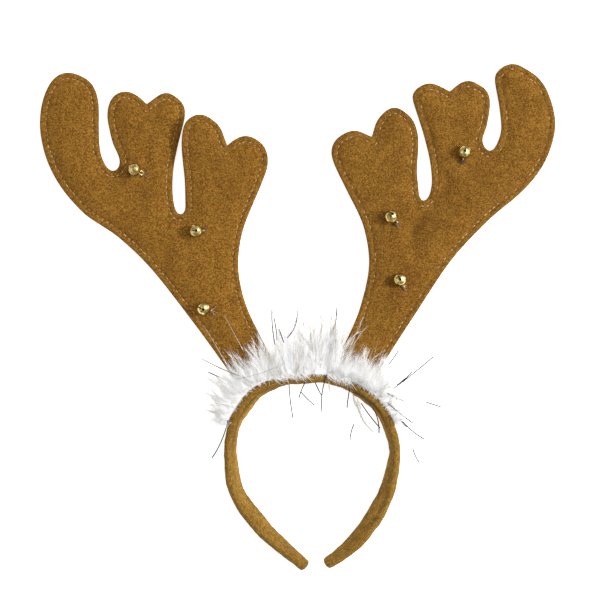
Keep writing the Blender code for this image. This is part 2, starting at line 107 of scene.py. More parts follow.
def add_node(tree, kind, sockets=None, **settings):
    """Adds a node and returns it. settings are the node's own properties. sockets fills its
    inputs, by name or number: another node's output is linked, anything else is the value."""
    made = tree.nodes.new("ShaderNode" + kind)
    for name, value in settings.items():
        setattr(made, name, value)
    for name, value in (sockets or {}).items():
        if isinstance(value, bpy.types.NodeSocket):
            tree.links.new(value, made.inputs[name])
        else:
            made.inputs[name].default_value = value
    return made


def new_material(name):
    """A material with an empty node tree apart from its shader and output."""
    material = bpy.data.materials.new(name)
    material.use_nodes = True
    tree = material.node_tree
    return material, tree, tree.nodes["Principled BSDF"]


def ranged(tree, value, low, high, to_low=0.0, to_high=1.0, **settings):
    """A value moved from the range low to high into the range to_low to to_high."""
    ends = {"Value": value, "From Min": low, "From Max": high, "To Min": to_low, "To Max": to_high}
    return add_node(tree, "MapRange", ends, **settings).outputs[0]


def colour_between(tree, share, first, second, **settings):
    """The colour that lies a share of the way from the first to the second."""
    colours = {0: share, 6: first, 7: second}
    return add_node(tree, "Mix", colours, data_type="RGBA", **settings).outputs[2]


def own_tone(tree):
    """The first number of the piece's own map, which gives each strand its tone."""
    place = add_node(tree, "UVMap", uv_map="OFBake").outputs["UV"]
    return add_node(tree, "SeparateXYZ", {0: place}).outputs[0]


print("felt brown is", [round(c, 3) for c in linear("#8C6228")])

# %% Table
TABLE_SIDE = 6.0
PAPER_GLOW = 0.7
table_mesh = bpy.data.meshes.new("table")
corners = np.array([(-1, -1, 0), (1, -1, 0), (1, 1, 0), (-1, 1, 0)]) * TABLE_SIDE / 2
table_mesh.from_pydata(corners.tolist(), [], [(0, 1, 2, 3)])
table = bpy.data.objects.new("table", table_mesh)
bpy.context.scene.collection.objects.link(table)
paper, _, paper_shader = new_material("white_background_paper")
paper_shader.inputs["Base Color"].default_value = linear("#F7F7F6")
paper_shader.inputs["Roughness"].default_value = 0.9
paper_shader.inputs["Specular IOR Level"].default_value = 0.1
paper_shader.inputs["Emission Color"].default_value = linear("#FFFFFF")
paper_shader.inputs["Emission Strength"].default_value = PAPER_GLOW
table_mesh.materials.append(paper)
print("table side in metres:", TABLE_SIDE)

# %% Sky and lamps
KEY_PLACE = Vector((0.84, 0.22, 0.86))
SKY_DIM, SKY_BRIGHT = 0.37, 2.0
# cosines of the angle to the lamp between which the sky brightens
SKY_FROM, SKY_TO = 0.66, 0.95
sky = bpy.data.worlds.new("studio")
sky.use_nodes = True
sky_way = add_node(sky.node_tree, "TexCoord").outputs["Generated"]
to_lamp = add_node(
    sky.node_tree, "VectorMath", {0: sky_way, 1: KEY_PLACE.normalized()}, operation="DOT_PRODUCT",
).outputs["Value"]
sky_light = ranged(
    sky.node_tree, to_lamp, SKY_FROM, SKY_TO, SKY_DIM, SKY_BRIGHT, interpolation_type="SMOOTHSTEP",
)
sky_shader = sky.node_tree.nodes["Background"]
sky_shader.inputs["Color"].default_value = linear("#FFFFFF")
sky.node_tree.links.new(sky_light, sky_shader.inputs["Strength"])
bpy.context.scene.world = sky
bpy.context.scene.view_settings.view_transform = "Standard"

# lamp, place in metres, side in metres, watts
LAMPS = [
    ("lamp_right", KEY_PLACE, 0.20, 10.0),
    ("softbox_left", (-1.30, -0.20, 0.90), 1.60, 6.0),
]
for lamp_name, place, side, watts in LAMPS:
    lamp_data = bpy.data.lights.new(lamp_name, "AREA")
    lamp_data.shape = "SQUARE"
    lamp_data.size = side
    lamp_data.energy = watts
    lamp = bpy.data.objects.new(lamp_name, lamp_data)
    lamp.location = place
    lamp.rotation_mode = "QUATERNION"
    lamp.rotation_quaternion = (-Vector(place)).to_track_quat("-Z", "Y")
    bpy.context.scene.collection.objects.link(lamp)
print("lamps:", len(LAMPS))

# %% [markdown]
# ## Tools for shapes
# Every new piece is worked out as whole arrays. A field of soft noise is a sum of waves in
# random directions, which is smooth everywhere and the same in each run. A strand of any
# kind is a small ring carried along a line, and thousands of them are made at once.

# %% Numpy helpers
UPWARD = np.array([0.0, 0.0, 1.0])
POINTS_AT_ONCE = 2000


def smooth_step(share):
    """0 below 0, 1 above 1 and 3s^2 - 2s^3 between: an even S."""
    share = np.clip(share, 0.0, 1.0)
    return share * share * (3.0 - 2.0 * share)


def bell_curve(offset, width):
    """1 at no offset, 0.37 at a width and almost 0 beyond two: e to the -(offset / width)^2."""
    return np.exp(-(offset / width) ** 2)


def unit(vectors):
    """Vectors scaled to length one."""
    return vectors / np.maximum(np.linalg.norm(vectors, axis=-1, keepdims=True), 1e-9)


def run_along(line):
    """The length of a line of points from its first one to each."""
    return np.concatenate([[0.0], np.cumsum(np.linalg.norm(np.diff(line, axis=0), axis=1))])


def soft_noise(points, size, seed, waves=14):
    """Smooth noise about 0 with unit spread: the sum of cosine waves whose lengths are near
    size and whose directions and phases are random, divided by the root of half their number."""
    chance = np.random.default_rng(seed)
    way = unit(chance.normal(size=(waves, points.shape[-1])))
    pitch = 2 * np.pi / (size * chance.uniform(0.7, 1.6, waves))
    phase = chance.uniform(0, 2 * np.pi, waves)
    total = sum(np.cos(points @ (w * p) + f) for w, p, f in zip(way, pitch, phase))
    return total / math.sqrt(waves / 2)


def noise_of(points, rows):
    """The sum of soft noises, one for each row of height, size and seed."""
    return sum(height * soft_noise(points, size, seed) for height, size, seed in rows)


def through(rows, position):
    """The smooth curve through the rows of a table at row numbers with fractions. Between two
    rows it is the cubic whose slope at each row is half the step between its neighbours."""
    rows = np.asarray(rows, float)
    position = np.clip(position, 0, len(rows) - 1)
    start = np.minimum(position.astype(int), len(rows) - 2)
    share = (position - start)[..., None]
    ends = np.vstack([2 * rows[0] - rows[1], rows, 2 * rows[-1] - rows[-2]])
    before, here, after, beyond = (ends[start + k] for k in range(4))
    cubic = 3 * (here - after) + beyond - before
    square = 2 * before - 5 * here + 4 * after - beyond
    return here + share / 2 * (after - before + share * (square + share * cubic))


def in_parts(work, points):
    """What a whole-array function gives for the points, some thousands of them at a time."""
    parts = np.array_split(points, len(points) // POINTS_AT_ONCE + 1)
    return np.concatenate([work(part) for part in parts])


def edge_distance(points, line, closed=True):
    """The distance of each flat point from a line of straight pieces: to each piece it is the
    length of the offset less its part along the piece, and the least of them counts."""
    ends = np.vstack([line, line[:1]]) if closed else line
    start, step = ends[:-1], np.diff(ends, axis=0)
    length = np.maximum((step * step).sum(axis=1), 1e-12)

    def nearest(some):
        offset = some[:, None, :] - start
        share = np.clip((offset * step).sum(axis=2) / length, 0, 1)
        return np.linalg.norm(offset - share[..., None] * step, axis=2).min(axis=1)

    return in_parts(nearest, points)


def inside(points, loop):
    """Which flat points lie in a closed loop: those with an odd number of its edges on
    their right."""
    a, b = loop, np.roll(loop, -1, axis=0)
    rise = np.where(np.abs(b[:, 1] - a[:, 1]) < 1e-9, 1e-9, b[:, 1] - a[:, 1])

    def odd(some):
        x, y = some[:, :1], some[:, 1:]
        at = a[:, 0] + (y - a[:, 1]) * (b[:, 0] - a[:, 0]) / rise
        return (((a[:, 1] > y) != (b[:, 1] > y)) & (at > x)).sum(axis=1) % 2 == 1

    return in_parts(odd, points)


print("numpy helpers ready")

# %% Meshes and pieces


def new_piece(name, points, faces, material, stands_for=(), uv=None, smooth=True):
    """A piece from points in mm and faces. It rides on the one body, and the nodes that it
    stands for are hidden. uv gives each point a pair of numbers."""
    mesh = bpy.data.meshes.new(name)
    mesh.from_pydata((np.asarray(points).reshape(-1, 3) * MM).tolist(), [], faces)
    if uv is not None:
        corner = np.empty(len(mesh.loops), int)
        mesh.loops.foreach_get("vertex_index", corner)
        layer = mesh.uv_layers.new(name="OFBake")
        layer.data.foreach_set("uv", np.asarray(uv, np.float32).reshape(-1, 2)[corner].ravel())
    if smooth:
        mesh.shade_smooth()
    mesh.materials.append(material)
    piece = bpy.data.objects.new(name, mesh)
    bpy.context.scene.collection.objects.link(piece)
    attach(piece, "root")
    if stands_for:
        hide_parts(*stands_for)
    mesh.calc_loop_triangles()
    print(name, "triangles:", len(mesh.loop_triangles))
    return piece


def grid_faces(rings, around):
    """The four-sided faces between rings of points, each joined to the next one."""
    row, column = np.meshgrid(np.arange(rings - 1), np.arange(around), indexing="ij")
    here, there = row * around, (row + 1) * around
    after = (column + 1) % around
    return np.stack([here + column, here + after, there + after, there + column], axis=-1).reshape(-1, 4)


def tube_faces(rings, around):
    """The outward faces of a tube of rings, with one face that closes each end."""
    last = (rings - 1) * around
    walls = grid_faces(rings, around)[:, ::-1].tolist()
    return walls + [list(range(around)), list(range(last + around - 1, last - 1, -1))]


def strands(lines, radius, sides=3, flatness=1.0):
    """Many closed tapered tubes at once. lines is (strands, points, 3) in mm and radius is
    (strands, points). Each point carries a ring of the radius, in the plane across the line:
    line + radius (cos a * sideways + flatness * sin a * over). The ends are closed by a face."""
    count, steps, _ = lines.shape
    along = unit(np.gradient(lines, axis=1))
    mean = unit(along.mean(axis=1, keepdims=True))
    helper = np.where(np.abs(mean[..., 2:]) < 0.8, np.array([0.0, 0.0, 1.0]), np.array([1.0, 0.0, 0.0]))
    sideways = unit(np.cross(along, np.broadcast_to(helper, along.shape)))
    over = np.cross(sideways, along)
    angle = 2 * np.pi * np.arange(sides) / sides
    ring = (
        np.cos(angle)[:, None] * sideways[:, :, None, :]
        + flatness * np.sin(angle)[:, None] * over[:, :, None, :]
    )
    points = lines[:, :, None, :] + radius[:, :, None, None] * ring
    first = (np.arange(count) * steps * sides)[:, None, None]
    walls = (grid_faces(steps, sides)[None] + first).reshape(-1, 4)
    near = np.arange(sides)[::-1] + first[:, 0]
    far = np.arange(sides) + (steps - 1) * sides + first[:, 0]
    return points.reshape(-1, 3), walls.tolist() + near.tolist() + far.tolist()


def strand_uv(tone, steps, sides):
    """For each point of the strands: the strand's own tone, and the share along it."""
    share = np.linspace(0, 1, steps)
    pairs = np.stack(np.broadcast_arrays(tone[:, None, None], share[None, :, None]), axis=-1)
    return np.broadcast_to(pairs, (len(tone), steps, sides, 2)).reshape(-1, 2)


print("shape tools ready")

# %% [markdown]
# ## The hoop's line
# The hoop is the one thing that all the others are sewn to, so its sections come first. They
# are the same rows as in the solid: a rounded bar, deep across the head's skin, whose inner
# face turns up towards the free ends.

# %% Hoop sections
# the frame's x and y of the table's own zero
CROWN = np.array([11.5, -50.47])
# place, across, up, thick and deep in mm, turn in degrees
HOOP_SECTIONS = [
    ("left_end", -5.0, -136.0, 6.0, 9.0, 42.0),
    ("left_wrist", -20.0, -123.0, 6.5, 12.0, 42.0),
    ("left_flare", -34.0, -110.5, 7.0, 14.5, 44.0),
    ("left_low", -48.0, -94.0, 7.0, 15.0, 44.0),
    ("left_bend", -57.0, -79.0, 7.0, 15.0, 34.0),
    ("left_side", -61.5, -56.0, 7.0, 15.0, 27.0),
    ("left_high", -60.5, -35.0, 7.0, 15.0, 20.0),
    ("left_shoulder", -54.0, -19.5, 7.0, 15.0, 20.0),
    ("left_turn", -42.0, -5.5, 7.0, 15.0, 16.0),
    ("left_crown", -22.0, 3.0, 6.8, 15.0, 6.0),
    ("crown", 1.0, 5.0, 6.8, 15.0, 0.0),
    ("right_crown", 20.0, 2.5, 6.8, 15.0, 6.0),
    ("right_turn", 38.0, -7.0, 7.0, 15.0, 14.0),
    ("right_shoulder", 52.0, -21.0, 7.0, 15.0, 17.0),
    ("right_high", 60.0, -42.0, 7.0, 15.0, 15.0),
    ("right_side", 60.0, -59.0, 7.0, 15.0, 22.0),
    ("right_bend", 55.0, -79.5, 7.0, 15.0, 37.0),
    ("right_low", 46.0, -98.0, 7.0, 15.0, 45.0),
    ("right_flare", 32.0, -116.0, 7.0, 14.5, 38.0),
    ("right_wrist", 20.0, -127.0, 6.5, 12.0, 34.0),
    ("right_end", 10.0, -133.5, 6.0, 9.0, 36.0),
]
HOOP_ROWS = np.array([row[1:] for row in HOOP_SECTIONS])
HOOP_LAST = len(HOOP_ROWS) - 1
HOOP_CORNER_SHARE = 0.4
HOOP_SINK = 0.3
HOOP_HALF_THICK = 3.4
print("hoop sections:", len(HOOP_SECTIONS))

# %% Hoop frame
ROW_STEP = 0.02


def hoop_frame(position):
    """How the hoop's section stands at row numbers of its table: its middle, the way out of
    the head, the section's thick and deep ways, and half its thickness and depth. The middle
    is as high as a rounded bar reaches below itself when it leans by the turn."""
    across, up, thick, deep, turn = through(HOOP_ROWS, position).T
    step = through(HOOP_ROWS, position + ROW_STEP) - through(HOOP_ROWS, position - ROW_STEP)
    along = unit(step[:, :2])
    outward = np.column_stack([-along[:, 1], along[:, 0], np.zeros(len(along))])
    lean = np.radians(turn)[:, None]
    sine, cosine = np.sin(lean), np.cos(lean)
    radius = thick * HOOP_CORNER_SHARE
    height = (thick / 2 - radius) * np.abs(sine[:, 0]) + (deep / 2 - radius) * cosine[:, 0] + radius
    middle = np.column_stack([across + CROWN[0], up + CROWN[1], height - HOOP_SINK])
    thick_way = outward * cosine - UPWARD * sine
    deep_way = outward * sine + UPWARD * cosine
    return middle, outward, thick_way, deep_way, thick / 2, deep / 2


def hoop_ways(row):
    """The hoop's middle at row numbers, the way out of the head and the way along the hoop."""
    middle, outward = hoop_frame(row)[:2]
    return middle, outward, np.column_stack([outward[:, 1], -outward[:, 0], np.zeros(len(row))])


def outer_face(row, height):
    """How far out of its middle the hoop's outer face is, for rows and the heights at each: half
    the thickness over cos(lean), plus tan(lean) for each mm above the middle."""
    middle, _, thick_way, deep_way, half_thick, _ = hoop_frame(row)
    cosine, slope, at = deep_way[:, 2], -thick_way[:, 2] / deep_way[:, 2], middle[:, 2]
    shape = (-1,) + (1,) * (np.ndim(height) - 1)
    return (half_thick / cosine).reshape(shape) + slope.reshape(shape) * (height - at.reshape(shape))


hoop_line = hoop_frame(np.linspace(0, HOOP_LAST, HOOP_LAST * 8 + 1))[0][:, :2]
print("hoop length in mm:", round(float(run_along(hoop_line)[-1])))

# %% [markdown]
# ## Felt
# The antlers are cut from brushed polyester felt: short crimped fibres matted together, light
# tan and dark brown mixed in one yarn colour. That gives a matt, mottled skin with specks
# about a millimetre across, soft blotches where the nap lies another way, and a faint sheen
# at grazing angles. Cells of a speck's size, each with a shade of its own, are mixed with
# noise of a fibre's size and tinted by wide blotches, and the fibre noise raises the surface.

# %% Felt material
SPECK_SIZE = 0.62
FIBRE_SIZE = 0.45
BLOTCH_SIZE = 17.0
FIBRE_SHARE = 0.28
FIBRE_RELIEF = 0.35
# how far from its middle the mixed value is all dark and all light
SHADE_BELOW, SHADE_ABOVE = 0.20, 0.36
BLOTCH_LOW, BLOTCH_HIGH = 0.32, 0.68
# painted brightness of combed cloth: painted sheen where the nap lies flat, and painted shade in the crease
# where it is parted
PAINTED_SHEEN_LIGHT, PAINTED_SHADE_LIGHT = 1.5, 0.45


def felt_material(name, light, dark, blotch_light, blotch_dark, speck=1.0, combed=False):
    """Matted fibres: a mix of a light and a dark shade, by the random value of the cell that a
    point is in and by noise for fibres, then darkened and lightened in wide soft blotches. A
    combed cloth has coordinates of its own, nap, which run with its fibres, and its own value,
    painted_shade_and_sheen: painted shade where the nap is parted, painted sheen where it lies flat."""
    material, tree, shader = new_material(name)
    if combed:
        place = add_node(tree, "Attribute", attribute_name="nap").outputs["Vector"]
    else:
        place = add_node(tree, "TexCoord").outputs["Object"]
    cells = add_node(tree, "TexVoronoi", {"Vector": place, "Scale": 1 / (SPECK_SIZE * MM)})
    specks = add_node(tree, "SeparateXYZ", {0: cells.outputs["Color"]}).outputs[0]
    fibres = add_node(tree, "TexNoise", {
        "Vector": place, "Scale": 1 / (FIBRE_SIZE * MM), "Detail": 2.0, "Roughness": 0.6, "Distortion": 0.8,
    }).outputs[0]
    blotches = add_node(tree, "TexNoise", {
        "Vector": place, "Scale": 1 / (BLOTCH_SIZE * MM), "Detail": 1.0, "Roughness": 0.5, "Distortion": 0.8,
    }).outputs[0]
    mottle = add_node(tree, "Mix", {0: FIBRE_SHARE, 2: specks, 3: fibres}, data_type="FLOAT").outputs[0]
    contrast = ranged(tree, mottle, 0.5 - SHADE_BELOW / speck, 0.5 + SHADE_ABOVE / speck)
    shade = colour_between(tree, contrast, linear(dark), linear(light))
    patch = ranged(tree, blotches, BLOTCH_LOW, BLOTCH_HIGH)
    tint = colour_between(tree, patch, linear(blotch_dark), linear(blotch_light))
    colour = colour_between(tree, 1.0, shade, tint, blend_type="MULTIPLY")
    # a combed cloth is multiplied by its painted shade in the crease and its painted sheen on the band below
    if combed:
        painted_shade_and_sheen = add_node(tree, "Attribute", attribute_name="painted_shade_and_sheen").outputs["Fac"]
        shine = ranged(tree, painted_shade_and_sheen, -1.0, 1.0, PAINTED_SHEEN_LIGHT, PAINTED_SHADE_LIGHT)
        colour = colour_between(tree, 1.0, colour, shine, blend_type="MULTIPLY")
    rough = add_node(tree, "Bump", {"Height": fibres, "Strength": 0.6, "Distance": FIBRE_RELIEF * MM})
    tree.links.new(colour, shader.inputs["Base Color"])
    tree.links.new(rough.outputs["Normal"], shader.inputs["Normal"])
    shader.inputs["Roughness"].default_value = 0.95
    shader.inputs["Specular IOR Level"].default_value = 0.15
    shader.inputs["Sheen Weight"].default_value = 0.06
    shader.inputs["Sheen Roughness"].default_value = 0.6
    shader.inputs["Sheen Tint"].default_value = linear("#D9B070")
    return material


felt_left = felt_material("brushed_felt_left", "#A5752C", "#634212", "#FFFFFF", "#F0EDE8")
# the right antler's felt is the same cloth painted a little darker, as painted shade against the lamp on the
# right
felt_right_painted_shade = felt_material("brushed_felt_right_painted_shade", "#9F712B", "#604112", "#FFFFFF", "#EAE5DE")
# the hoop's plush is combed, so it carries painted shade and painted sheen by its crease
plush = felt_material("combed_plush", "#A67E36", "#6C5120", "#FFFFFF", "#EDE7DA", speck=0.8, combed=True)
print("felt materials:", felt_left.name, felt_right_painted_shade.name, plush.name)

# %% [markdown]
# ## The hoop
# A springy strip is wrapped in wadding and a tube of short plush is drawn over it. The plush
# is stretched round the outside and pushed together on the inside, where it puckers, and its
# seam runs down the inner face. The hoop is a profile carried along a path: a rounded bar
# whose two half widths and lean come from the table, with the unevenness added outwards.

# %% Hoop surface
HOOP_RINGS = 18
HOOP_AROUND = 44
HOOP_ROUNDNESS = 0.66
HOOP_END_ROUNDING = 2.5
PUCKER_SPACING, PUCKER_HEIGHT = 9.0, 0.14
# height in mm, size in mm, seed
HOOP_NOISE = [(0.22, 16.0, 3), (0.10, 6.0, 4)]
# where the cover is pinched in: hoop row, half length in mm, depth in mm, angle round the
# section. A negative depth swells it.
PINCHES = [
    (3.4, 6.5, 0.8, 180.0),
    (5.35, 6.0, 0.9, 180.0),
    (6.6, 5.0, 0.7, 150.0),
    (7.35, 15.0, -1.5, 180.0),
    (14.55, 6.2, 0.9, 190.0),
    (16.3, 6.5, 0.8, 165.0),
    (17.5, 6.0, 0.6, 200.0),
]
# angles round the section and half widths as angles, depths in mm
HOOP_SEAM_ANGLE, HOOP_SEAM_WIDTH, HOOP_SEAM_DEPTH = math.radians(205.0), 0.09, 0.35
CREASE_ANGLE, CREASE_WIDTH, CREASE_DEPTH = math.radians(160.0), 0.26, 0.8
CREASE_WANDER = 0.20
CREASE_FADE = 30.0
# shift and half width, as angles, of the band of painted sheen below the crease
BAND_SHIFT, BAND_WIDTH = 0.5, 0.35
NAP_STRETCH = 1.5
HOOP_END_ROWS = 0.11


def crease_and_painted_shade(run, angle):
    """A crease that wanders, comes and goes along the hoop and fades near its ends, and the
    painted light by it: 1, painted shade in the crease where the nap is parted, and -1,
    painted sheen in a band below it where the nap lies flat."""
    wander = CREASE_ANGLE + CREASE_WANDER * np.sin(run / 14.0)
    comes = 0.6 + 0.4 * np.sin(run / 19.0 + 1.0)
    comes = comes * smooth_step((np.minimum(run, run[-1] - run) - CREASE_FADE) / CREASE_FADE)
    crease = bell_curve(angle - wander, CREASE_WIDTH)
    band = bell_curve(angle - wander - BAND_SHIFT, BAND_WIDTH)
    return comes * crease, comes * (crease - band)


def hoop_points():
    """Rings of the hoop's cover. At angle a the section is half_thick |cos a|^e on the thick
    way and half_deep |sin a|^e on the deep way, with their signs, and e below 1 squares it.
    Noise, puckers on the inner side, pinches, a crease above the inner side and a seam groove
    move it along that direction. The nap is combed along the hoop, so its coordinates are the
    section's own and the length, shortened by the stretch."""
    position = np.linspace(HOOP_END_ROWS, HOOP_LAST - HOOP_END_ROWS, HOOP_LAST * HOOP_RINGS + 1)
    middle, _, thick_way, deep_way, half_thick, half_deep = hoop_frame(position)
    run = run_along(middle)[:, None]
    angle = 2 * np.pi * np.arange(HOOP_AROUND) / HOOP_AROUND
    cosine, sine = np.cos(angle), np.sin(angle)
    wide = np.sign(cosine) * np.abs(cosine) ** HOOP_ROUNDNESS
    tall = np.sign(sine) * np.abs(sine) ** HOOP_ROUNDNESS
    out = thick_way[:, None] * cosine[:, None] + deep_way[:, None] * sine[:, None]
    ring = (
        middle[:, None] + thick_way[:, None] * (half_thick[:, None] * wide)[..., None]
        + deep_way[:, None] * (half_deep[:, None] * tall)[..., None]
    )
    wave = np.cos(2 * np.pi * run / PUCKER_SPACING + 1.4 * np.sin(run / 23.0))
    uneven = noise_of(ring, HOOP_NOISE) + PUCKER_HEIGHT * wave * np.clip(-cosine, 0, 1) ** 2
    for row, half, depth, where in PINCHES:
        along = bell_curve(run - np.interp(row, position, run[:, 0]), half)
        around = np.clip(np.cos(angle - math.radians(where)), 0, 1) ** 1.5
        uneven = uneven - depth * along * around
    # the crease's depth, and its painted shade and the painted sheen of the band below
    crease, painted_shade_and_sheen = crease_and_painted_shade(run, angle)
    seam = bell_curve(angle - HOOP_SEAM_ANGLE, HOOP_SEAM_WIDTH)
    uneven = uneven - HOOP_SEAM_DEPTH * seam - CREASE_DEPTH * crease
    nap = np.broadcast_arrays(run / NAP_STRETCH, half_thick.max() * wide, half_deep.max() * tall)
    return ring + out * uneven[..., None], middle, np.stack(nap, axis=-1), painted_shade_and_sheen


CAP_ANGLES = np.radians([14, 28, 42, 56, 68, 79, 87])


def rounded_ends(rings, middle):
    """Closes both ends with rings that shrink as the cosine and move on as the sine of an
    angle, as on a half ball."""
    angles = CAP_ANGLES[:, None, None]
    parts = []
    for end, neighbour in ((0, 1), (-1, -2)):
        onward = unit(middle[end] - middle[neighbour])
        shrunk = (rings[end] - middle[end]) * np.cos(angles)
        parts.append(middle[end] + shrunk + onward * HOOP_END_ROUNDING * np.sin(angles))
    return np.concatenate([parts[0][::-1], rings, parts[1]])


hoop_rings, hoop_middle, hoop_nap, hoop_painted_shade_and_sheen = hoop_points()
hoop_rings = rounded_ends(hoop_rings, hoop_middle)
hoop_rings[..., 2] = np.maximum(hoop_rings[..., 2], 0.0)
ring_count = len(hoop_rings)
hoop_faces = tube_faces(ring_count, HOOP_AROUND)
headband = new_piece("headband_cover", hoop_rings, hoop_faces, plush, ["headband"])
to_ring = np.clip(np.arange(ring_count) - len(CAP_ANGLES), 0, len(hoop_nap) - 1)
nap_layer = headband.data.attributes.new("nap", "FLOAT_VECTOR", "POINT")
nap_layer.data.foreach_set("vector", (hoop_nap[to_ring] * MM).astype(np.float32).ravel())
# the painted shade of the crease and the painted sheen below it, for the plush material
painted_shade_and_sheen_layer = headband.data.attributes.new("painted_shade_and_sheen", "FLOAT", "POINT")
painted_shade_and_sheen_layer.data.foreach_set("value", hoop_painted_shade_and_sheen[to_ring].astype(np.float32).ravel())

# %% [markdown]
# ## The antler pattern
# Each antler's edge is read from its solid, so the felt is cut exactly where the solid ends.
# The edge of the upward faces is the sides that only one of them has. They are put end to
# end, and a smooth curve is drawn through them with the sharp notches kept.

# %% Read an antler's edge
# least upward part of the normal of a face that counts as upward
UPWARD_FACE = 0.5


def lone_sides(triangles):
    """The sides that belong to one triangle only, each in that triangle's order."""
    sides = np.vstack([triangles[:, [0, 1]], triangles[:, [1, 2]], triangles[:, [2, 0]]])
    known = set(map(tuple, sides.tolist()))
    return [(a, b) for a, b in known if (b, a) not in known]


def node_edge(name):
    """The outline of a node from above, as flat points in mm in counter-clockwise order."""
    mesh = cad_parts[name].data
    points = np.empty(len(mesh.vertices) * 3)
    mesh.vertices.foreach_get("co", points)
    points, index = np.unique(np.round(points.reshape(-1, 3) / MM, 3), axis=0, return_inverse=True)
    mesh.calc_loop_triangles()
    triangles = np.empty(len(mesh.loop_triangles) * 3, int)
    mesh.loop_triangles.foreach_get("vertices", triangles)
    triangles = index.ravel()[triangles].reshape(-1, 3)
    a, b, c = (points[triangles[:, k]] for k in range(3))
    normal = unit(np.cross(b - a, c - a))
    follow = dict(lone_sides(triangles[normal[:, 2] > UPWARD_FACE]))
    loops = []
    while follow:
        here = next(iter(follow))
        loop = []
        while here in follow:
            loop.append(here)
            here = follow.pop(here)
        loops.append(loop)
    return points[max(loops, key=len)][:, :2]


knots = {}
for side in ("left", "right"):
    for layer in ("front", "back"):
        knots[side, layer] = node_edge("antler_" + side + "_" + layer)
print("knots on each edge:", [len(line) for line in knots.values()])

# %% Smooth an antler's edge
EDGE_STEP = 1.3
CORNER_TURN = math.radians(58)
CORNER_KEPT = 3.0
# a new point this share of a step from a corner, or nearer, is left out
CORNER_CLEAR = 0.45
EVENING_ROUNDS = 60
EVENING_MOVES = (0.60, -0.62)


def evened(curve, free):
    """Each point moved towards the middle of its neighbours and almost as far back, by turns,
    which evens out small bends, as scissors do, and keeps the size. Where free is 0 it stays."""
    for move in EVENING_MOVES * EVENING_ROUNDS:
        middle = (np.roll(curve, 1, axis=0) + np.roll(curve, -1, axis=0)) / 2
        curve = curve + move * free * (middle - curve)
    return curve


def smooth_loop(knots, step):
    """The closed smooth curve through knots at even steps: a cubic in each span, whose slope
    at a knot is the mean of its two sides' slopes, weighted by the other side's length. At a
    corner each span keeps its own straight slope. Away from the corners it is then evened."""
    chord = np.linalg.norm(np.roll(knots, -1, axis=0) - knots, axis=1)
    slope = (np.roll(knots, -1, axis=0) - knots) / chord[:, None]
    before, before_chord = np.roll(slope, 1, axis=0), np.roll(chord, 1)
    mean = (before * chord[:, None] + slope * before_chord[:, None]) / (chord + before_chord)[:, None]
    turn = np.arccos(np.clip((before * slope).sum(axis=1), -1, 1))
    corner = (turn > CORNER_TURN)[:, None]
    leave, arrive = np.where(corner, slope, mean), np.where(corner, before, mean)
    starts = np.concatenate([[0.0], np.cumsum(chord)])
    even = np.linspace(0, starts[-1], int(starts[-1] / step), endpoint=False)
    fixed = starts[:-1][corner[:, 0]]
    if len(fixed):
        even = even[np.abs(even[:, None] - fixed).min(axis=1) > step * CORNER_CLEAR]
    at = np.sort(np.concatenate([even, fixed]))
    span = np.clip(np.searchsorted(starts, at, side="right") - 1, 0, len(knots) - 1)
    after = (span + 1) % len(knots)
    length = chord[span][:, None]
    share = (at - starts[span])[:, None] / length
    square, cube = share ** 2, share ** 3
    curve = (
        (2 * cube - 3 * square + 1) * knots[span] + (cube - 2 * square + share) * length * leave[span]
        + (3 * square - 2 * cube) * knots[after] + (cube - square) * length * arrive[after]
    )
    gap = np.abs(at[:, None] - fixed) if len(fixed) else np.full((len(at), 1), starts[-1])
    free = smooth_step(np.minimum(gap, starts[-1] - gap).min(axis=1) / CORNER_KEPT)[:, None]
    return evened(curve, free)


edges = {key: smooth_loop(line, EDGE_STEP) for key, line in knots.items()}
print("points on each edge:", [len(edge) for edge in edges.values()])

# %% [markdown]
# ## How the felt lies
# The two layers are sewn together 4.5 mm inside the edge, with thin wadding in between. The
# front swells from the seam inwards, is drawn down along the thread, and keeps a flat rim.
# Near the hoop both layers rise to the middle of its depth. The cloth has a few long soft
# folds where it was packed, and the innermost tine of the left antler stands up a little, so
# it throws the dark shadow that the photograph shows on its neighbour.

# %% Heights of the cloth
BACK_THICKNESS = 1.4
SEAM_GAP = 0.3
RIM_THICKNESS = 1.6
RIM_ROUNDING = 0.55
RIM_WIDTH = 1.1
ROLL_INSET, ROLL_HEIGHT = 2.2, 0.22
WADDING_HEIGHT = 2.2
WADDING_REACH = 15.0
FOLD_INSET, FOLD_REACH = 3.0, 9.0
FOOT_LIFT = 5.5
FOOT_BEND = 45.0
SEAM_INSET = 4.5
SEAM_DEPTH = 0.9
SEAM_WIDTH = 0.85
# height in mm, size in mm, seed: inside the seam, and everywhere
INNER_NOISE = [(0.28, 22.0, 11), (0.12, 9.0, 12)]
CLOTH_NOISE = [(0.10, 7.0, 13)]

# side, from and to in photo pixels, height in mm, half width in mm
FOLDS = [
    ("left", (118, 208), (152, 186), -1.1, 7.0),
    ("left", (150, 198), (168, 176), 0.9, 6.0),
    ("left", (163, 262), (182, 230), -1.0, 7.0),
    ("left", (182, 262), (206, 238), 0.9, 7.0),
    ("left", (70, 150), (84, 190), 0.5, 8.0),
    ("left", (205, 160), (222, 210), -0.6, 7.0),
    ("right", (409, 230), (446, 184), -3.4, 5.2),
    ("right", (436, 232), (502, 182), 2.6, 9.0),
    ("right", (482, 180), (520, 190), 0.5, 3.0),
    ("right", (484, 190), (516, 170), -0.5, 4.0),
    ("right", (500, 96), (530, 116), -0.8, 7.0),
    ("right", (350, 168), (372, 200), -0.5, 8.0),
    ("right", (420, 262), (398, 300), 0.7, 7.0),
    ("right", (425, 108), (440, 160), 0.5, 8.0),
]
